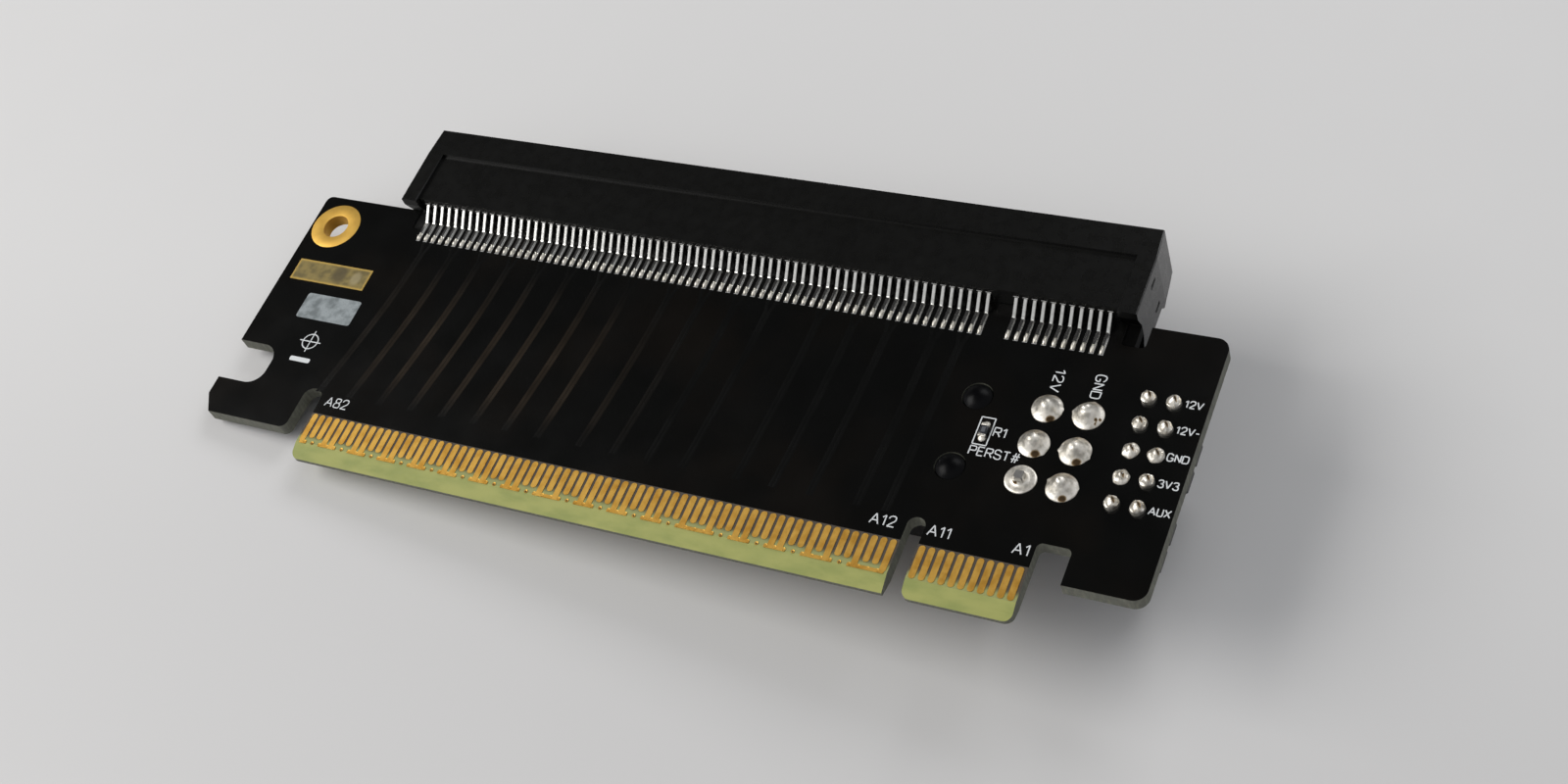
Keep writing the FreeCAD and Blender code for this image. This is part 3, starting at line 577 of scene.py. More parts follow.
def make_contacts(node, name, gold):
    """The card edge's plated contacts, their corners softened."""
    build_piece(name, rounded_copy(node, 0.1, 2, is_upright), [gold], [node])


def make_hole_plating(gold):
    """Ring, barrel and ring round the mounting hole, turned in one."""
    low, high = box_mm("mounting_hole_rings")
    middle = (low + high) / 2
    ring = (high.x - low.x) / 2
    bore, lining, lift = 1.6, 0.03, 0.05
    half = [(ring, 0), (ring, 0.6 * lift), (ring - 0.05, lift), (bore + 0.06, lift),
            (bore, 0.7 * lift), (bore - lining, 0)]
    bm = turned([(radius, FRONT + height) for radius, height in half]
                + [(radius, BACK - height) for radius, height in reversed(half)], 64)
    shift(bm, middle.x, middle.y)
    build_piece("hole_plating", outward(bm), [gold], ["mounting_hole_rings"])


def turned(outline, steps):
    """A shape turned about Z from its outline of radius and height."""
    bm = bmesh.new()
    verts = [bm.verts.new((radius, 0, height)) for radius, height in outline]
    edges = [bm.edges.new(pair) for pair in zip(verts, verts[1:])]
    bmesh.ops.spin(bm, geom=verts + edges, cent=(0, 0, 0), axis=(0, 0, 1), dvec=(0, 0, 0),
                   angle=FULL_TURN, steps=steps, use_merge=True, use_duplicate=False)
    bmesh.ops.remove_doubles(bm, verts=bm.verts, dist=0.0005)
    return bm


VIA_RING, VIA_BORE, VIA_LIFT = 0.2, 0.085, 0.065
VIA_Y = 2.0


def make_ground_vias(gold, bore):
    """Small plated vias in the gaps between the ground bars' contacts and beside them."""
    bm = bmesh.new()
    bmesh.ops.create_circle(bm, cap_ends=True, segments=14, radius=VIA_RING)
    lifted = new_items(bmesh.ops.extrude_face_region(bm, geom=bm.faces[:]), BMVert)
    shift(bm, 0, 0, VIA_LIFT, lifted)
    top = [face for face in bm.faces if face.calc_center_median().z > VIA_LIFT * 0.9]
    bmesh.ops.inset_region(bm, faces=top, thickness=VIA_RING - VIA_BORE, depth=0)
    # the sunk middle of each ring takes the bore's painted shade
    for face in top:
        shift(bm, 0, 0, -VIA_LIFT * 0.5, face.verts)
        face.material_index = 1
    places = [Matrix.Translation((contact_x(number) - PITCH / 2, VIA_Y, FRONT))
              for number in range(KEY_CONTACTS + 1, CONTACTS)]
    build_piece("ground_vias", join(bmesh.new(), outward(bm), places), [gold, bore])


# ---- socket

def bent_strip(width, thick, chamfer, start, moves):
    """A strip bent in the YZ plane: runs in millimetres, bends as (degrees, radius).

    It sets out along Y from its start.
    """
    bm = bmesh.new()
    bmesh.ops.create_grid(bm, x_segments=1, y_segments=1, size=0.5)
    bmesh.ops.scale(bm, vec=(width, thick, 1), verts=bm.verts)
    bmesh.ops.bevel(bm, geom=bm.verts[:], offset=chamfer, offset_type="OFFSET", segments=1,
                    profile=0.5, affect="VERTICES", material=-1)
    turn(bm, 90, "X")
    angle = 0.0
    here = Vector((0, *start))
    shift(bm, *here)
    geom = list(bm.faces)
    for move in moves:
        along = Vector((0, math.cos(angle), math.sin(angle)))
        if isinstance(move, tuple):
            bend, radius = math.radians(move[0]), move[1]
            centre = here + Vector((0, -along.z, along.y)) * math.copysign(radius, bend)
            made = bmesh.ops.spin(bm, geom=geom, cent=centre, axis=(1, 0, 0), dvec=(0, 0, 0),
                                  angle=bend, steps=3, use_merge=False, use_duplicate=False)
            geom = new_items(made, BMFace, "geom_last")
            here = centre + Matrix.Rotation(bend, 3, "X") @ (here - centre)
            angle += bend
        else:
            made = bmesh.ops.extrude_face_region(bm, geom=geom)
            geom = new_items(made, BMFace)
            shift(bm, *along * move, new_items(made, BMVert))
            here = here + along * move
    return bm


# Runs of a lead from its toe in millimetres, and the bends between them as (degrees, radius)
LEAD_RUNS = (1.5, (40.0, 0.35), 2.0, (-51.5, 0.5), 6.95, (30.5, 0.6), 1.2)
SHOULDER_WIDTH = 0.64
PAD_HALF, PAD_START, PAD_END = 0.25, -1.0, 1.75      # a lead's solder pad, along it from its toe
TOE_DROP = (0.235, 0.52, 0.28)


def make_leads(side, tin):
    """A row of spring contacts: flat toe, rounded knee, rise to the moulding, spring inside."""
    seat = FRONT + LEAD_THICK / 2
    bm = bent_strip(LEAD_WIDTH, LEAD_THICK, 0.045, (LEAD_TOE, seat), LEAD_RUNS)
    add_block(bm, (-SHOULDER_WIDTH / 2, SOCKET_FACE - 0.1, 2.3),
              (SHOULDER_WIDTH / 2, SOCKET_FACE + 0.08, 2.5), 0.03, 1)
    bmesh.ops.remove_doubles(bm, verts=bm.verts, dist=0.0005)
    repeat_row(f"leads_{side}", outward(bm), side, [tin],
               [f"socket_contacts_{side}"])


def repeat_row(name, template, side, materials, stands_for):
    """A template of contact 0 set out at all contacts, on the front or mirrored to the back."""
    if side == "back":
        bmesh.ops.scale(template, vec=(1, 1, -1), verts=template.verts)
        bmesh.ops.reverse_faces(template, faces=template.faces)
    places = [Matrix.Translation((contact_x(number), 0, 0))
              for number in range(1, CONTACTS + 1)]
    build_piece(name, join(bmesh.new(), template, places), materials, stands_for)


def make_lead_solder(side, solder, tin):
    """A thin wetted pad along each lead's foot and a drop at its toe."""
    bm = bmesh.new()
    add_block(bm, (-PAD_HALF, LEAD_TOE + PAD_START, FRONT - 0.02),
              (PAD_HALF, LEAD_TOE + PAD_END, FRONT + 0.05), 0.04, 1,
              edges=lambda edge: min(vert.co.z for vert in edge.verts) > FRONT)
    for face in bm.faces:
        face.material_index = 1
    drop = bmesh.ops.create_uvsphere(bm, u_segments=8, v_segments=6, radius=1.0)["verts"]
    bmesh.ops.scale(bm, vec=TOE_DROP, verts=drop)
    shift(bm, 0, LEAD_TOE - 0.46, FRONT + 0.02, drop)
    for vert in drop:
        vert.co.z = max(vert.co.z, FRONT - 0.01)
    repeat_row(f"lead_solder_{side}", outward(bm), side, [solder, tin],
               [f"socket_solder_{side}"])


def make_socket_body(plastic, shaded_foot_plastic):
    """The moulded socket with its outer edges rounded; the cells' edges stay sharp. Its foot in the
    board's notch takes a darker, duller plastic as painted shade.
    """
    shortest, skin, foot_reach = 0.7, 3.3, 2.4

    def outer(edge):
        first, second = (vert.co for vert in edge.verts)
        middle = middle_of(edge)
        on_foot = middle.y < SOCKET_FACE + 0.1
        on_step = abs(middle.y - RIM_Y) < 0.1 and middle.z > 0
        at_skin = min(abs(first.z), abs(second.z)) > skin
        at_end = min(abs(first.x - socket_low.x), abs(first.x - socket_high.x)) < 0.3
        return (edge.calc_length() > shortest and (at_skin or at_end)
                and not (on_foot or on_step))

    bm = rounded_copy("socket_housing", 0.12, 2, outer)
    foot_top = SOCKET_FACE - 0.02
    bmesh.ops.bisect_plane(bm, geom=bm.verts[:] + bm.edges[:] + bm.faces[:], dist=0.0001,
                           plane_co=(0, foot_top, 0), plane_no=(0, 1, 0))
    # painted shade: the foot's faces in the board's notch, right of the contacts, take the darker,
    # duller plastic
    for face in bm.faces:
        middle = face.calc_center_median()
        notch_shade = middle.y < foot_top and abs(middle.z) < foot_reach
        if notch_shade and middle.x > tab_high.x:
            face.material_index = 1
    build_piece("socket_body", bm, [plastic, shaded_foot_plastic], ["socket_housing"],
                all_round=False)


# ---- power inlet and headers

def make_inlet_body(plastic, shaded_peg_plastic):
    def outer(edge):
        return max(vert.co.z for vert in edge.verts) < BACK + 0.01 and edge.calc_length() > 2.0

    bm = rounded_copy("power_housing", 0.18, 2, outer)
    for face in bm.faces:
        # painted shade: the peg ends' domes take a darker, less glossy copy of the inlet's plastic
        if face.calc_center_median().z > FRONT - 0.05:      # the peg ends' domes
            face.smooth = True
            face.material_index = 1
    build_piece("inlet_body", bm, [plastic, shaded_peg_plastic], ["power_housing"],
                all_round=False)


POWER_RADIUS = 1.62
BELL = [(1.62, 0), (1.61, 0.05), (1.55, 0.1), (1.45, 0.17), (1.33, 0.26), (1.21, 0.36),
        (1.1, 0.48), (1.0, 0.6), (0.9, 0.73), (0.8, 0.86), (0.7, 0.98), (0.6, 1.1), (0.5, 1.2),
        (0.4, 1.28), (0.3, 1.33), (0.2, 1.36), (0.1, 1.375), (0, 1.38)]
WASHER = [(1.62, 0), (1.61, 0.08), (1.55, 0.13), (1.4, 0.16), (1.2, 0.17), (1.0, 0.19),
          (0.85, 0.23), (0.72, 0.32), (0.62, 0.45), (0.56, 0.56)]

POWER_LUMPS, RIM_LUMPS, SPUR_HALF = 0.05, 0.07, 0.3
TIP_REACH, TIP_RISE = 0.55, 0.22      # the mound over a pin's tip
DARK_SIDE_FROM = 100                       # the back of the bells, darkened towards brown as painted reflection of the room's dark wall
# By joint: flux pools as (degrees, reach, size), spurs at the rim as (degrees, length)
FLUX_POOLS = {1: [(-60, 1.42, 0.32)], 2: [(-66, 1.36, 0.34)], 3: [(-120, 0.66, 0.2)],
              4: [(-28, 1.12, 0.14), (-14, 1.38, 0.13), (-42, 1.36, 0.1)],
              5: [(-66, 1.4, 0.33)], 6: [(-70, 1.36, 0.3)]}
SPURS = {1: [(8, 0.1)], 2: [(-38, 0.1)], 3: [], 4: [(172, 0.14), (84, 0.1)],
         5: [(186, 0.16), (-18, 0.12)], 6: [(160, 0.18), (10, 0.1)]}
TIPPED = {4: (-0.1, 0.32), 6: (0.05, 0.1)}      # joints whose pin's tip shows, and where
FLAT_JOINT = 3


def polar(degrees, reach):
    return Vector((math.cos(math.radians(degrees)), math.sin(math.radians(degrees)), 0)) * reach


def power_joint(number, flat):
    """One hand-soldered joint: a low lumpy bell over its pin's tip, or a flat washer of solder."""
    bm = turned(WASHER if flat else BELL, 60)
    seed = Vector((number * 7.3, number * 3.1, number * 5.7))
    flux_and_shade = bm.verts.layers.float.new("flux_and_shade")
    for vert in bm.verts:
        away = Vector((vert.co.x, vert.co.y, 0))
        reach = away.length
        height = vert.co.z
        lump = noise.noise(vert.co * 0.7 + seed)
        facet = abs(noise.noise(vert.co * 1.5 + seed)) - 0.2
        if reach > 0.01:
            spur = sum(length * max(0, 1 - (away - polar(degrees, POWER_RADIUS)).length / SPUR_HALF)
                       for degrees, length in SPURS[number])
            vert.co += away.normalized() * (RIM_LUMPS * lump + spur)
        if height > 0.02 and not flat:
            vert.co.z += POWER_LUMPS * (lump + facet)
            if number in TIPPED:
                off = (away - Vector((*TIPPED[number], 0))).length
                vert.co.z += TIP_RISE * max(0, 1 - (off / TIP_REACH) ** 4) ** 0.5
        stain = 0
        for degrees, place, size in FLUX_POOLS[number]:
            along = (math.atan2(away.y, away.x) - math.radians(degrees)) * place / 1.7
            apart = math.hypot(along, reach - place) / size
            stain = max(stain, min(max(1.5 - 1.3 * apart, 0), 1))
        # painted reflection: the back of each bell is darkened towards brown for the dark wall it
        # would mirror; not on the flat washer
        back = away.dot(polar(DARK_SIDE_FROM, 1)) / POWER_RADIUS
        dark_reflection = 0 if flat else 0.34 * min(max(1.6 * back - 0.2 + 0.8 * lump, 0), 1)
        vert[flux_and_shade] = max(stain, dark_reflection)
    return bm


def make_power_joints(solder, smooth_solder):
    whole = bmesh.new()
    for number, (x, y) in zip(POWER_PINS, power_places()):
        flat = number == FLAT_JOINT
        bm = power_joint(number, flat)
        for face in bm.faces:
            face.material_index = int(flat)
        shift(bm, x, y, FRONT)
        join(whole, bm)
    build_piece("power_joints", outward(whole), [solder, smooth_solder],
                ["power_solder_joints"], sharp=math.radians(60))


def make_power_pins(pin):
    """Square pins with pointed ends, bent once behind the inlet and up through the board."""
    whole = bmesh.new()
    bend, point = 0.6, 0.5
    for number, (x, y) in zip(POWER_PINS, power_places()):
        low, high = box_mm(f"power_pin_{number}")
        level = low.z + POWER_PIN / 2
        sunk, blunt = (0.2, 0.8) if number == FLAT_JOINT else (0, 0.5)
        top = high.z - sunk
        bm = bent_strip(POWER_PIN, POWER_PIN, 0.1, (low.x, level), [
            point, x - low.x - point - bend, (90, bend), top - level - point - bend, point])
        tips = (([vert for vert in bm.verts if vert.co.y < low.x + 0.01], 0.5),
                ([vert for vert in bm.verts if vert.co.z > top - 0.01], blunt))
        for verts, share in tips:
            middle = sum((vert.co for vert in verts), Vector()) / len(verts)
            for vert in verts:
                vert.co = middle.lerp(vert.co, share)
        turn(bm, -90, "Z")
        shift(bm, 0, y)
        bmesh.ops.remove_doubles(bm, verts=bm.verts, dist=0.0005)
        join(whole, outward(bm))
    build_piece("power_pins", whole, [pin],
                [f"power_pin_{number}" for number in POWER_PINS])


TALL_BEAD = [(0.76, 0), (0.77, 0.1), (0.755, 0.26), (0.715, 0.42), (0.65, 0.57), (0.57, 0.7),
             (0.48, 0.8), (0.39, 0.88), (0.3, 0.94), (0.22, 0.98), (0.14, 1.0), (0.07, 1.0),
             (0, 1.0)]
LOW_BEAD = [(0.87, 0), (0.86, 0.07), (0.79, 0.16), (0.7, 0.28), (0.6, 0.4), (0.51, 0.52),
            (0.42, 0.62), (0.34, 0.7), (0.26, 0.76), (0.19, 0.8), (0.12, 0.82), (0.06, 0.83),
            (0, 0.83)]
LOW_BEADS = (4, 5, 6)                 # joints that spread out further over their pads
CREST_TURN, CREST_LIFT, DENT_DEPTH, BEAD_LUMPS = 118, 0.05, 0.16, 0.06


def bead_height(outline, reach):
    """The height of an outline at a radius."""
    for (outer, low), (inner, high) in zip(outline, outline[1:]):
        if inner <= reach <= outer:
            return low + (high - low) * (outer - reach) / max(outer - inner, 0.001)
    return 0 if reach > outline[0][0] else outline[-1][1]


def header_joint(number):
    """A small bead of solder drawn up to a crest along X, with a dent on its sheared side, browned
    with flux and painted shade.
    """
    outline = LOW_BEAD if number in LOW_BEADS else TALL_BEAD
    bm = turned(outline, 44)
    seed = Vector((number * 4.1, number * 9.2, 1.3))
    flux_and_shade = bm.verts.layers.float.new("flux_and_shade")
    for vert in bm.verts:
        along, out = vert.co.x, -vert.co.y                # out is the sheared side
        reach = math.hypot(along, out)
        lump = noise.noise(vert.co * 1.6 + seed)
        dent = max(0, 1 - abs(along - 0.05) / 0.6) * max(0, 1 - abs(out - 0.2) / 0.2)
        if vert.co.z > 0.05 and reach < 0.7:
            lump += 0.7 * noise.noise(vert.co * 3.4 + seed)
            pinch = (0.75 if out > 0 else 0.5) * (1 - (reach / 0.72) ** 2)
            vert.co.z = bead_height(outline, reach + pinch * abs(out)) + BEAD_LUMPS * lump
            vert.co.z -= DENT_DEPTH * dent
            if abs(out) < 0.01:                           # the crest itself
                vert.co.z += CREST_LIFT
        vert.co += Vector((along, -out, 0)) * 0.12 * lump
        # the dent is flux darkened further as painted shade; elsewhere a faint film follows random
        # lumps
        vert[flux_and_shade] = max(0.8 * min(1, 1.8 * dent), 0.3 * min(max(0.2 + 1.5 * lump, 0), 1))
    turn(bm, CREST_TURN + 9 * noise.noise(Vector((number * 3.7, 0.5, 0))), "Z")
    return bm


def make_header_joints(solder):
    whole = bmesh.new()
    for number, node in enumerate(header_pins()):
        bm = header_joint(number)
        low, high = box_mm(node)
        shift(bm, *(low + high).xy / 2, FRONT)
        join(whole, bm)
    build_piece("header_joints", outward(whole), [solder],
                ["header_solder_joints"], sharp=math.radians(30))


def make_header_pins(pin):
    """Square pins, pointed below and sheared short under their solder."""
    whole = bmesh.new()
    for node in header_pins():
        bm = rounded_copy(node, 0.03, 1)
        for vert in bm.verts:
            if vert.co.z > FRONT:
                vert.co.z -= HEADER_PIN_SUNK
        join(whole, bm)
    build_piece("header_pins", whole, [pin], header_pins(), all_round=False)


# How far each cap's end leans right and up from its pins
CAP_LEAN = {1: (0.1, 0.5), 2: (0.14, 0.36), 4: (0.1, 0.3), 5: (0.06, 0.2)}


def lean_cap(bm, number):
    """A cap sits a little askew on its two pins."""
    low, high = box_mm(f"jumper_cap_{number}")
    right, up = CAP_LEAN[number]
    for vert in bm.verts:
        share = (high.z - vert.co.z) / (high.z - low.z)
        vert.co += Vector((right, up, 0)) * share


def make_clip(number, pin):
    node = f"jumper_clip_{number}"
    bm = rounded_copy(node, 0.04, 1)
    lean_cap(bm, number)
    build_piece(f"clip_{number}", bm, [pin], [node], all_round=False)


def make_cap(number, plastic):
    """A jumper cap, its outer edges rounded, that leans with its clip."""
    node = f"jumper_cap_{number}"
    low, high = box_mm(node)

    def outer(edge):
        middle = middle_of(edge)
        near_skin = min(from_sides(middle, low, high, axis) for axis in (0, 1)) < 0.4
        return (near_skin or middle.z < low.z + 0.01) and edge.calc_length() > 0.3

    bm = rounded_copy(node, 0.08, 2, outer)
    lean_cap(bm, number)
    build_piece(f"cap_{number}", bm, [plastic], [node], all_round=False)


def make_header_base(number, plastic):
    node = f"header_{number}_base"
    low, high = box_mm(node)

    def outer(edge):
        middle = middle_of(edge)
        return (from_sides(middle, low, high, 0) < 0.5
                or from_sides(middle, low, high, 1) < 0.01)

    build_piece(f"header_base_{number}", rounded_copy(node, 0.08, 2, outer), [plastic],
                [node], all_round=False)


# ---- resistor

MARK_REACH = Vector((0.2, 0.3, 0.008))     # half of the bare mark on the resistor's top
FILLET_SAG = 0.35                          # how much lower a fillet is at its outer end


def make_resistor(glaze, solder, ink):
    """A chip resistor: glazed body with a faint bare mark, rounded silver ends, fillets."""
    body_low, body_high = box_mm("resistor_body")
    ends_low, ends_high = box_mm("resistor_terminals")
    bm = bmesh.new()
    add_block(bm, body_low, body_high, 0.03, 2)
    middle = (body_low + body_high) / 2
    top = Vector((middle.x, middle.y, body_high.z))
    body_faces = set(bm.faces)
    add_block(bm, top - MARK_REACH, top + MARK_REACH)
    for face in set(bm.faces) - body_faces:
        face.material_index = 1
    build_piece("resistor_chip", bm, [glaze, ink], ["resistor_body"])

    bm = bmesh.new()
    cap = body_low.y - ends_low.y
    for sign, tip in ((-1, ends_low.y), (1, ends_high.y)):
        near = tip - sign * cap
        add_block(bm, (ends_low.x, min(tip, near), ends_low.z),
                  (ends_high.x, max(tip, near), ends_high.z), 0.07, 3)
    build_piece("resistor_ends", bm, [solder], ["resistor_terminals"])

    bm = bmesh.new()
    foot_low, foot_high = box_mm("resistor_solder")
    for sign, tip, foot in ((-1, ends_low.y, foot_low.y), (1, ends_high.y, foot_high.y)):
        drop = bmesh.ops.create_uvsphere(bm, u_segments=16, v_segments=10, radius=1.0)["verts"]
        reach = abs(foot - tip)
        half = (foot_high.x - foot_low.x) / 2
        bmesh.ops.scale(bm, vec=(half, reach, foot_high.z - FRONT), verts=drop)
        for vert in drop:
            vert.co.z = max(vert.co.z, -0.01)
            if vert.co.z > 0:
                vert.co.z *= 1 - FILLET_SAG * abs(vert.co.y) / reach
        shift(bm, middle.x, tip, FRONT, drop)
    build_piece("resistor_fillets", outward(bm), [solder], ["resistor_solder"])


# ---- print

# Letters: width and pen strokes, as X Y pairs in hundredths of their height. A stroke of three
# or more points is a smooth curve between its ends.
GLYPHS = {
    "A": (80, "0 0 40 100, 40 100 80 0, 15 34 65 34"),
    "B": (66, "0 0 0 100, 0 100 35 100 60 98 60 54 35 52 0 52, 0 52 40 52 68 50 68 2 40 0 0 0"),
    "D": (70, "0 0 0 100, 0 100 35 100 72 96 74 50 72 4 35 0 0 0"),
    "E": (62, "0 0 0 100, 0 100 60 100, 0 52 50 52, 0 0 60 0"),
    "G": (78, "72 78 62 102 10 108 -2 50 10 -8 66 -2 76 20 75 42, 75 42 45 42"),
    "N": (66, "0 0 0 100, 0 100 66 0, 66 0 66 100"),
    "P": (66, "0 0 0 100, 0 100 40 100 68 98 68 50 40 48 0 48"),
    "R": (68, "0 0 0 100, 0 100 40 100 68 98 68 50 40 48 0 48, 36 48 70 0"),
    "S": (66, "64 80 58 102 2 106 -4 58 34 50 72 42 66 -6 6 -2 0 20"),
    "T": (66, "33 0 33 100, 0 100 66 100"),
    "U": (66, "0 100 0 35 0 0 33 -2 66 0 66 35 66 100"),
    "V": (74, "0 100 37 0, 37 0 74 100"),
    "X": (70, "0 100 70 0, 0 0 70 100"),
    "1": (36, "0 76 28 100, 28 100 28 0"),
    "2": (64, "0 74 2 102 60 106 66 60 30 34 0 0, 0 0 64 0"),
    "3": (64, "0 82 8 103 60 104 62 55 26 53, 26 53 66 53 68 -3 8 -4 0 20"),
    "8": (64, "32 54 4 56 4 100 32 100 60 100 60 56 32 54, 32 54 0 54 -2 0 32 0 66 0 64 54 32 54"),
    "#": (80, "16 -6 36 106, 46 -6 66 106, 0 32 74 32, 8 68 82 68"),
    "-": (40, "0 45 40 45"),
}
LETTER_GAP = 0.24
LABEL_HEIGHT = 0.78
CONTACT_LABEL_HEIGHT = 1.14
CONTACT_LABEL_Y = 6.87
STROKE = 0.068
INK_RISE = 0.02

# Contact labels: left end on the shared base line
CONTACT_LABELS = [("A12", -4.72), ("A11", 1.38), ("A1", 10.05), ("A82", -71.25)]
BACK_LABELS = [("B1", -11.7), ("B11", -3.9), ("B12", 1.5), ("B82", 68.2)]
# Header labels: height of the base line
HEADER_LABELS = [("12V", 26.05), ("12V-", 23.0), ("GND", 19.88), ("3V3", 16.86), ("AUX", 13.8)]
HEADER_LABEL_X = 21.26
# The others: left end of the base line, height, turn in degrees and widening
OTHER_LABELS = [("12V", (7.76, 27.85), 1.0, -90, 1.17), ("GND", (11.95, 28.06), 1.0, -90, 1.05),
                ("R1", (3.98, 18.98), 1.0), ("PERST#", (2.24, 16.5), 0.98)]


def pen_stroke(curve, points):
    spline = curve.splines.new("NURBS" if len(points) > 2 else "POLY")
    spline.points.add(len(points) - 1)
    for point, (x, y) in zip(spline.points, points):
        point.co = (x, y, 0, 1)
    if len(points) > 2:
        spline.order_u = 3
        spline.use_endpoint_u = True
        spline.resolution_u = 3


def write(curve, text, start, height, angle=0, wide=1.0):
    place = Matrix.Translation((*start, 0)) @ Matrix.Rotation(math.radians(angle), 4, "Z")
    place = place @ Matrix.Diagonal((height * wide, height, 1, 1))
    pen = 0.0
    for letter in text:
        width, strokes = GLYPHS[letter]
        for stroke in strokes.split(","):
            numbers = [int(number) / 100 for number in stroke.split()]
            pen_stroke(curve, [(place @ Vector((x + pen, y, 0))).xy
                               for x, y in zip(numbers[::2], numbers[1::2])])
        pen += width / 100 + LETTER_GAP


def outline_box(curve, low, high):
    corners = [(low[0], low[1]), (high[0], low[1]), (high[0], high[1]), (low[0], high[1])]
    for first, last in zip(corners, corners[1:] + corners[:1]):
        pen_stroke(curve, [first, last])


def inked(curve, half_width):
    """The strokes as a low, flat-bottomed mesh that lies on the plane z = 0."""
    curve.dimensions = "3D"
    curve.bevel_depth = half_width
    curve.bevel_resolution = 1
    curve.use_fill_caps = True
    pen = put_in_scene("pen", curve)
    bpy.context.view_layer.update()
    evaluated = pen.evaluated_get(bpy.context.evaluated_depsgraph_get())
    mesh = bpy.data.meshes.new_from_object(evaluated)
    bm = bmesh.new()
    bm.from_mesh(mesh)
    bpy.data.objects.remove(pen)
    bpy.data.meshes.remove(mesh)
    bmesh.ops.remove_doubles(bm, verts=bm.verts, dist=0.0002)
    bmesh.ops.scale(bm, vec=(1, 1, INK_RISE / half_width), verts=bm.verts)
    return outward(bm)


BLOCK_LOW, BLOCK_HIGH = (-81.6, 17.35), (-74.0, 20.8)
BAR_LOW, BAR_HIGH = (-79.1, 11.6), (-76.3, 12.2)
TARGET_CENTRE, TARGET_RADIUS = (-77.7, 14.45), 1.0
RESISTOR_BOX = ((2.24, 17.72), (3.7, 20.92))


def make_front_print(ink):
    curve = bpy.data.curves.new("front_strokes", "CURVE")
    for label, x in CONTACT_LABELS:
        write(curve, label, (x, CONTACT_LABEL_Y), CONTACT_LABEL_HEIGHT)
    for label in OTHER_LABELS:
        write(curve, *label)
    for label, y in HEADER_LABELS:
        write(curve, label, (HEADER_LABEL_X, y), LABEL_HEIGHT)
    outline_box(curve, *RESISTOR_BOX)
    x, y = TARGET_CENTRE
    reach = TARGET_RADIUS * 1.45
    pen_stroke(curve, [(x - reach, y), (x + reach, y)])
    pen_stroke(curve, [(x, y - reach), (x, y + reach)])
    bm = inked(curve, STROKE)
    ring = turned([(TARGET_RADIUS - STROKE, 0), (TARGET_RADIUS, INK_RISE),
                   (TARGET_RADIUS + STROKE, 0)], 28)
    shift(ring, x, y)
    join(bm, ring)
    add_block(bm, (*BAR_LOW, -INK_RISE), (*BAR_HIGH, INK_RISE), 0.2, 3, edges=is_upright)
    shift(bm, 0, 0, FRONT)
    build_piece("front_print", outward(bm), [ink])


def make_printed_block(ink):
    """The solid block of print below the gold patch, left bare."""
    bm = bmesh.new()
    add_block(bm, (*BLOCK_LOW, -INK_RISE), (*BLOCK_HIGH, INK_RISE), 0.3, 3, edges=is_upright)
    shift(bm, 0, 0, FRONT)
    build_piece("printed_block", outward(bm), [ink])


def make_back_print(ink):
    curve = bpy.data.curves.new("back_strokes", "CURVE")
    for label, x in BACK_LABELS:
        write(curve, label, (x, CONTACT_LABEL_Y), CONTACT_LABEL_HEIGHT)
    bm = inked(curve, STROKE)
    turn(bm, 180, "Y")
    shift(bm, 0, 0, BACK)
    build_piece("back_print", outward(bm), [ink])


# ---- copper lines under the mask

PAIRS = ((13, 14), (16, 17), (21, 22), (25, 26), (29, 30), (35, 36), (39, 40), (43, 44),
         (47, 48), (52, 53), (56, 57), (60, 61), (64, 65), (68, 69), (72, 73), (76, 77),
         (80, 81))
TRACE_HALF, TRACE_TOP, TRACE_RISE, TRACE_SPACE = 0.2, 0.05, 0.012, 0.22
TRACE_HIGH, TRACE_LOW = 24, 8.4
LEAST_DRIFT, MORE_DRIFT, DRIFT_SPAN = 0.5, 2.4, 70     # more of it further left on the card


def add_trace(bm, route):
    """A low rounded ridge along a route of X and Y on the board's front."""
    section = [(-TRACE_HALF, 0), (-TRACE_TOP, TRACE_RISE), (TRACE_TOP, TRACE_RISE),
               (TRACE_HALF, 0)]
    x, y = route[0]
    verts = [bm.verts.new((x + across, y, FRONT + height)) for across, height in section]
    edges = [bm.edges.new(pair) for pair in zip(verts, verts[1:])]
    for (x, y), (next_x, next_y) in zip(route, route[1:]):
        made = bmesh.ops.extrude_edge_only(bm, edges=edges)
        edges = new_items(made, BMEdge)
        shift(bm, next_x - x, next_y - y, 0, new_items(made, BMVert))


def make_traces(mask):
    """Line pairs from the leads to the contacts; each drifts left on its way down."""
    bm = bmesh.new()
    top = LEAD_TOE - 0.9
    for first, second in PAIRS:
        middle = (contact_x(first) + contact_x(second)) / 2
        drift = LEAST_DRIFT + MORE_DRIFT * max(0.0, -middle) / DRIFT_SPAN
        for side, number in ((1, first), (-1, second)):
            pad = contact_x(number)
            line = middle + side * TRACE_SPACE
            route = [(pad, top), (pad, top - 0.5), (line, top - 1.6)]
            for share in (0, 0.2, 0.4, 0.6, 0.8, 1):
                route.append((line - drift * (0.12 + 0.88 * share ** 1.2),
                              TRACE_HIGH - (TRACE_HIGH - TRACE_LOW) * share))
            add_trace(bm, route)
    outward(bm)
    bmesh.ops.reverse_faces(bm, faces=[face for face in bm.faces if face.normal.z < 0])
    build_piece("mask_lines", bm, [mask], sharp=math.radians(70))


# ---- the card

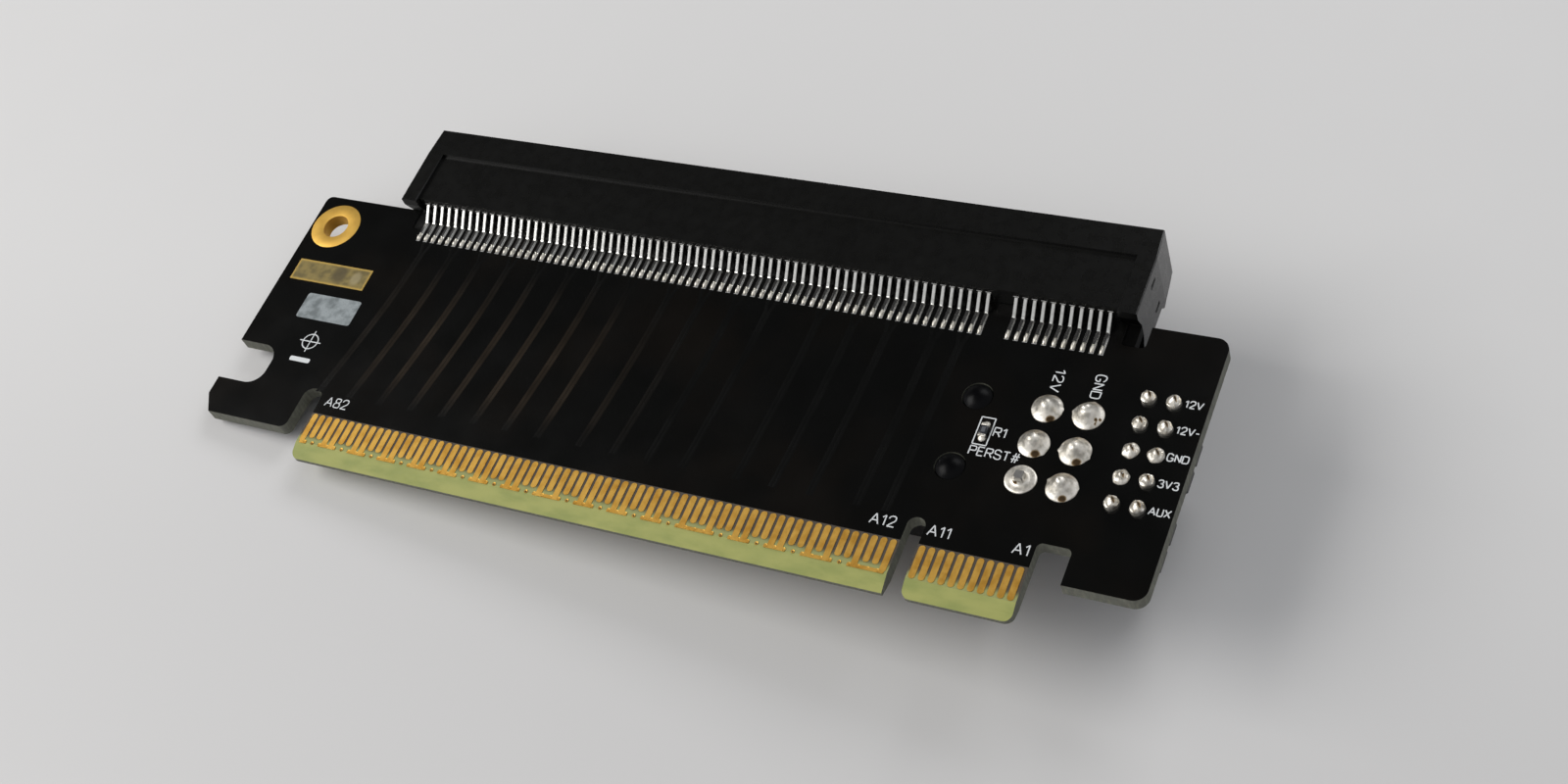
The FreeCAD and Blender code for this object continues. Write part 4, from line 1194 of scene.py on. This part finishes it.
# Mouldings: colour, roughness, and how strongly they mirror
MOULDINGS = {"socket": ((0.0028, 0.0028, 0.0025), 0.27, 0.4),
             # foot: a darker, duller copy of the socket's plastic, painted shade on the foot in the
             # notch
             "foot": ((0.0015, 0.0015, 0.0014), 0.5, 0.03),
             "inlet": ((0.008, 0.008, 0.0085), 0.22, 0.5),
             # peg: a darker, less glossy copy of the inlet's plastic, painted shade on the peg
             # domes
             "peg": ((0.0015, 0.0015, 0.0018), 0.3, 0.07),
             "cap": ((0.009, 0.009, 0.009), 0.35, 0.5)}


def dress_card():
    gold = gold_finish("gold_plating", 0.5, GOLD, GOLD_DEEP)
    ring_gold = gold_finish("ring_gold", 0.55, RING_GOLD, RING_DEEP)
    tin, pin, ink = strip_finish(), pin_finish(), print_finish("printed_ink", INK)
    solder = solder_finish("reflowed_solder", SOLDER_GREY, 1.2)
    smooth_solder = solder_finish("smooth_solder", SOLDER_DULL_AND_DARK_REFLECTION, 0.35)
    plastic = {name: moulding_finish(f"{name}_plastic", *look)
               for name, look in MOULDINGS.items()}

    for node, finish in (("pcb", board_finish()), ("gold_patch", patch_finish())):
        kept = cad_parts[node].data.materials
        kept.clear()
        kept.append(finish)

    make_contacts("edge_contacts_front", "front_contacts", gold)
    make_contacts("edge_contacts_back", "back_contacts", gold)
    make_hole_plating(ring_gold)
    make_ground_vias(gold, bore_shade_finish())
    for side in ("front", "back"):
        make_leads(side, tin)
        make_lead_solder(side, smooth_solder, tin)
    make_socket_body(plastic["socket"], plastic["foot"])
    make_inlet_body(plastic["inlet"], plastic["peg"])
    make_power_joints(solder, smooth_solder)
    make_power_pins(pin)
    make_header_joints(solder)
    make_header_pins(pin)
    for number in HEADERS:
        make_header_base(number, plastic["cap"])
    for number in CAPPED:
        make_cap(number, plastic["cap"])
        make_clip(number, pin)
    make_resistor(resistor_finish(), solder, print_finish("resistor_mark", FAINT_INK))
    make_front_print(ink)
    make_printed_block(block_finish())
    make_back_print(ink)
    make_traces(trace_finish())


# ---- table, light and camera

def rest_plane():
    """The card lies on the socket's lip and on the inlet: a point and the upward normal."""
    lip = Vector((socket_low.x + 0.25, RIM_Y, socket_low.z))
    corner = Vector((inlet_low.x, inlet_low.y, inlet_low.z + CATCH_RISE))
    catch = Vector((inlet_high.x - 7.2, (inlet_low.y + inlet_high.y) / 2 - 1.7, inlet_low.z))
    normal = (corner - lip).cross(catch - lip).normalized()
    if normal.z < 0:
        normal.negate()
    return lip, normal


# the near tone is painted shade: the window's light falling off towards the viewer and the right
TABLE_FAR, TABLE_NEAR = (0.66, 0.655, 0.65), (0.605, 0.60, 0.597)
TABLE_HALF = 1200                     # half the table's width


def floor_finish():
    """A pale table, a little darker towards the viewer as painted fall-off of the window's light,
    clear from below.
    """
    look = Finish("pale_table", TABLE_FAR)
    across = look.times(look.axis("X"), 0.15)
    near = look.step(look.maths("SUBTRACT", look.axis("Y"), across), 45 * MM, -10 * MM)
    look.colour(look.mix(near, TABLE_FAR, TABLE_NEAR))
    look.roughen(8, 2, 0.5, 0.6)
    choose = look.add("ShaderNodeMixShader")
    look.put(choose.inputs[0], look.add("ShaderNodeNewGeometry").outputs["Backfacing"])
    look.put(choose.inputs[1], look.shader.outputs[0])
    look.put(choose.inputs[2], look.add("ShaderNodeBsdfTransparent").outputs[0])
    look.put(look.tree.nodes["Material Output"].inputs["Surface"], choose.outputs[0])
    return look.material


def make_floor():
    point, normal = rest_plane()
    bm = bmesh.new()
    bmesh.ops.create_grid(bm, x_segments=1, y_segments=1, size=TABLE_HALF)
    tilt = Vector((0, 0, 1)).rotation_difference(normal).to_matrix()
    bmesh.ops.rotate(bm, cent=(0, 0, 0), matrix=tilt, verts=bm.verts)
    middle = (board_low + board_high) / 2
    shift(bm, *(middle + normal * (point - middle).dot(normal)))
    bmesh.ops.scale(bm, vec=(MM, MM, MM), verts=bm.verts)
    mesh = mesh_of(bm, "table_top")
    mesh.materials.append(floor_finish())
    put_in_scene("table_top", mesh)


def add_lamp(name, direction, distance, size, power, tint):
    """A soft lamp that faces the card from a direction."""
    lamp = bpy.data.lights.new(name, "AREA")
    lamp.shape = "RECTANGLE"
    lamp.size, lamp.size_y = size
    lamp.energy = power
    lamp.color = tint
    holder = put_in_scene(name, lamp)
    away = Vector(direction).normalized()
    holder.location = (board_low + board_high) / 2 * MM + away * distance
    holder.rotation_mode = "QUATERNION"
    holder.rotation_quaternion = away.to_track_quat("Z", "Y")


# Lamps: direction, distance and size in metres, power in watts, tint
LAMPS = [("window", (-0.67, -0.2, 0.71), 0.95, (0.7, 0.55), 7.9, (1.0, 0.985, 0.965)),
         ("doorway", (0.2, 0.77, 0.61), 0.9, (0.5, 0.4), 2.0, (0.975, 0.985, 1.0))]
DARK_WALL = Vector((-0.42, 0.46, 0.78))    # the unlit side of the room
ROOM_EVEN, ROOM_DIM = (0.58, 0.59, 0.61, 1), (0.30, 0.30, 0.31, 1)
ROOM_DARK = (0.03, 0.03, 0.032, 1)
ROOM_SEEN = (0.56, 0.555, 0.55)            # what the viewer sees past the table


def light_room():
    """A low window to the front left; the rest of the room is even, but for one dark wall."""
    for lamp in LAMPS:
        add_lamp(*lamp)
    world = bpy.data.worlds.new("room")
    bpy.context.scene.world = world
    world.use_nodes = True
    room = Nodes(world.node_tree)
    towards = room.add("ShaderNodeVectorMath", operation="DOT_PRODUCT")
    room.put(towards.inputs[0], room.add("ShaderNodeTexCoord").outputs["Generated"])
    towards.inputs[1].default_value = DARK_WALL.normalized()
    span = room.add("ShaderNodeMapRange")
    room.put(span.inputs["Value"], towards.outputs["Value"])
    span.inputs["From Min"].default_value = -1.0
    ramp = room.add("ShaderNodeValToRGB")
    room.put(ramp.inputs[0], span.outputs["Result"])
    stops = ramp.color_ramp.elements
    stops[0].position, stops[0].color = 0.35, ROOM_DIM
    stops[1].position, stops[1].color = 0.95, ROOM_DARK
    for position in (0.55, 0.72):
        stops.new(position).color = ROOM_EVEN
    seen = room.add("ShaderNodeLightPath").outputs["Is Camera Ray"]
    background = world.node_tree.nodes["Background"]
    room.put(background.inputs["Color"], room.mix(seen, ramp.outputs[0], ROOM_SEEN))
    background.inputs["Strength"].default_value = 1.0


CAMERA_PLACE = Vector((68.541, -75.658, 164.219))
CAMERA_RIGHT = Vector((0.89146, 0.36807, -0.26423))
CAMERA_UP = Vector((-0.16797, 0.81009, 0.56174))


def add_camera():
    camera = bpy.data.cameras.new("camera")
    camera.lens = 46.458
    camera.sensor_width = 36
    camera.clip_start = 0.01
    aim = Matrix((CAMERA_RIGHT, CAMERA_UP, CAMERA_RIGHT.cross(CAMERA_UP))).transposed()
    holder = put_in_scene("camera", camera)
    holder.matrix_world = Matrix.Translation(CAMERA_PLACE * MM) @ aim.to_4x4()
    bpy.context.scene.camera = holder


dress_card()
make_floor()
light_room()
add_camera()
bpy.context.scene.view_settings.view_transform = "Standard"
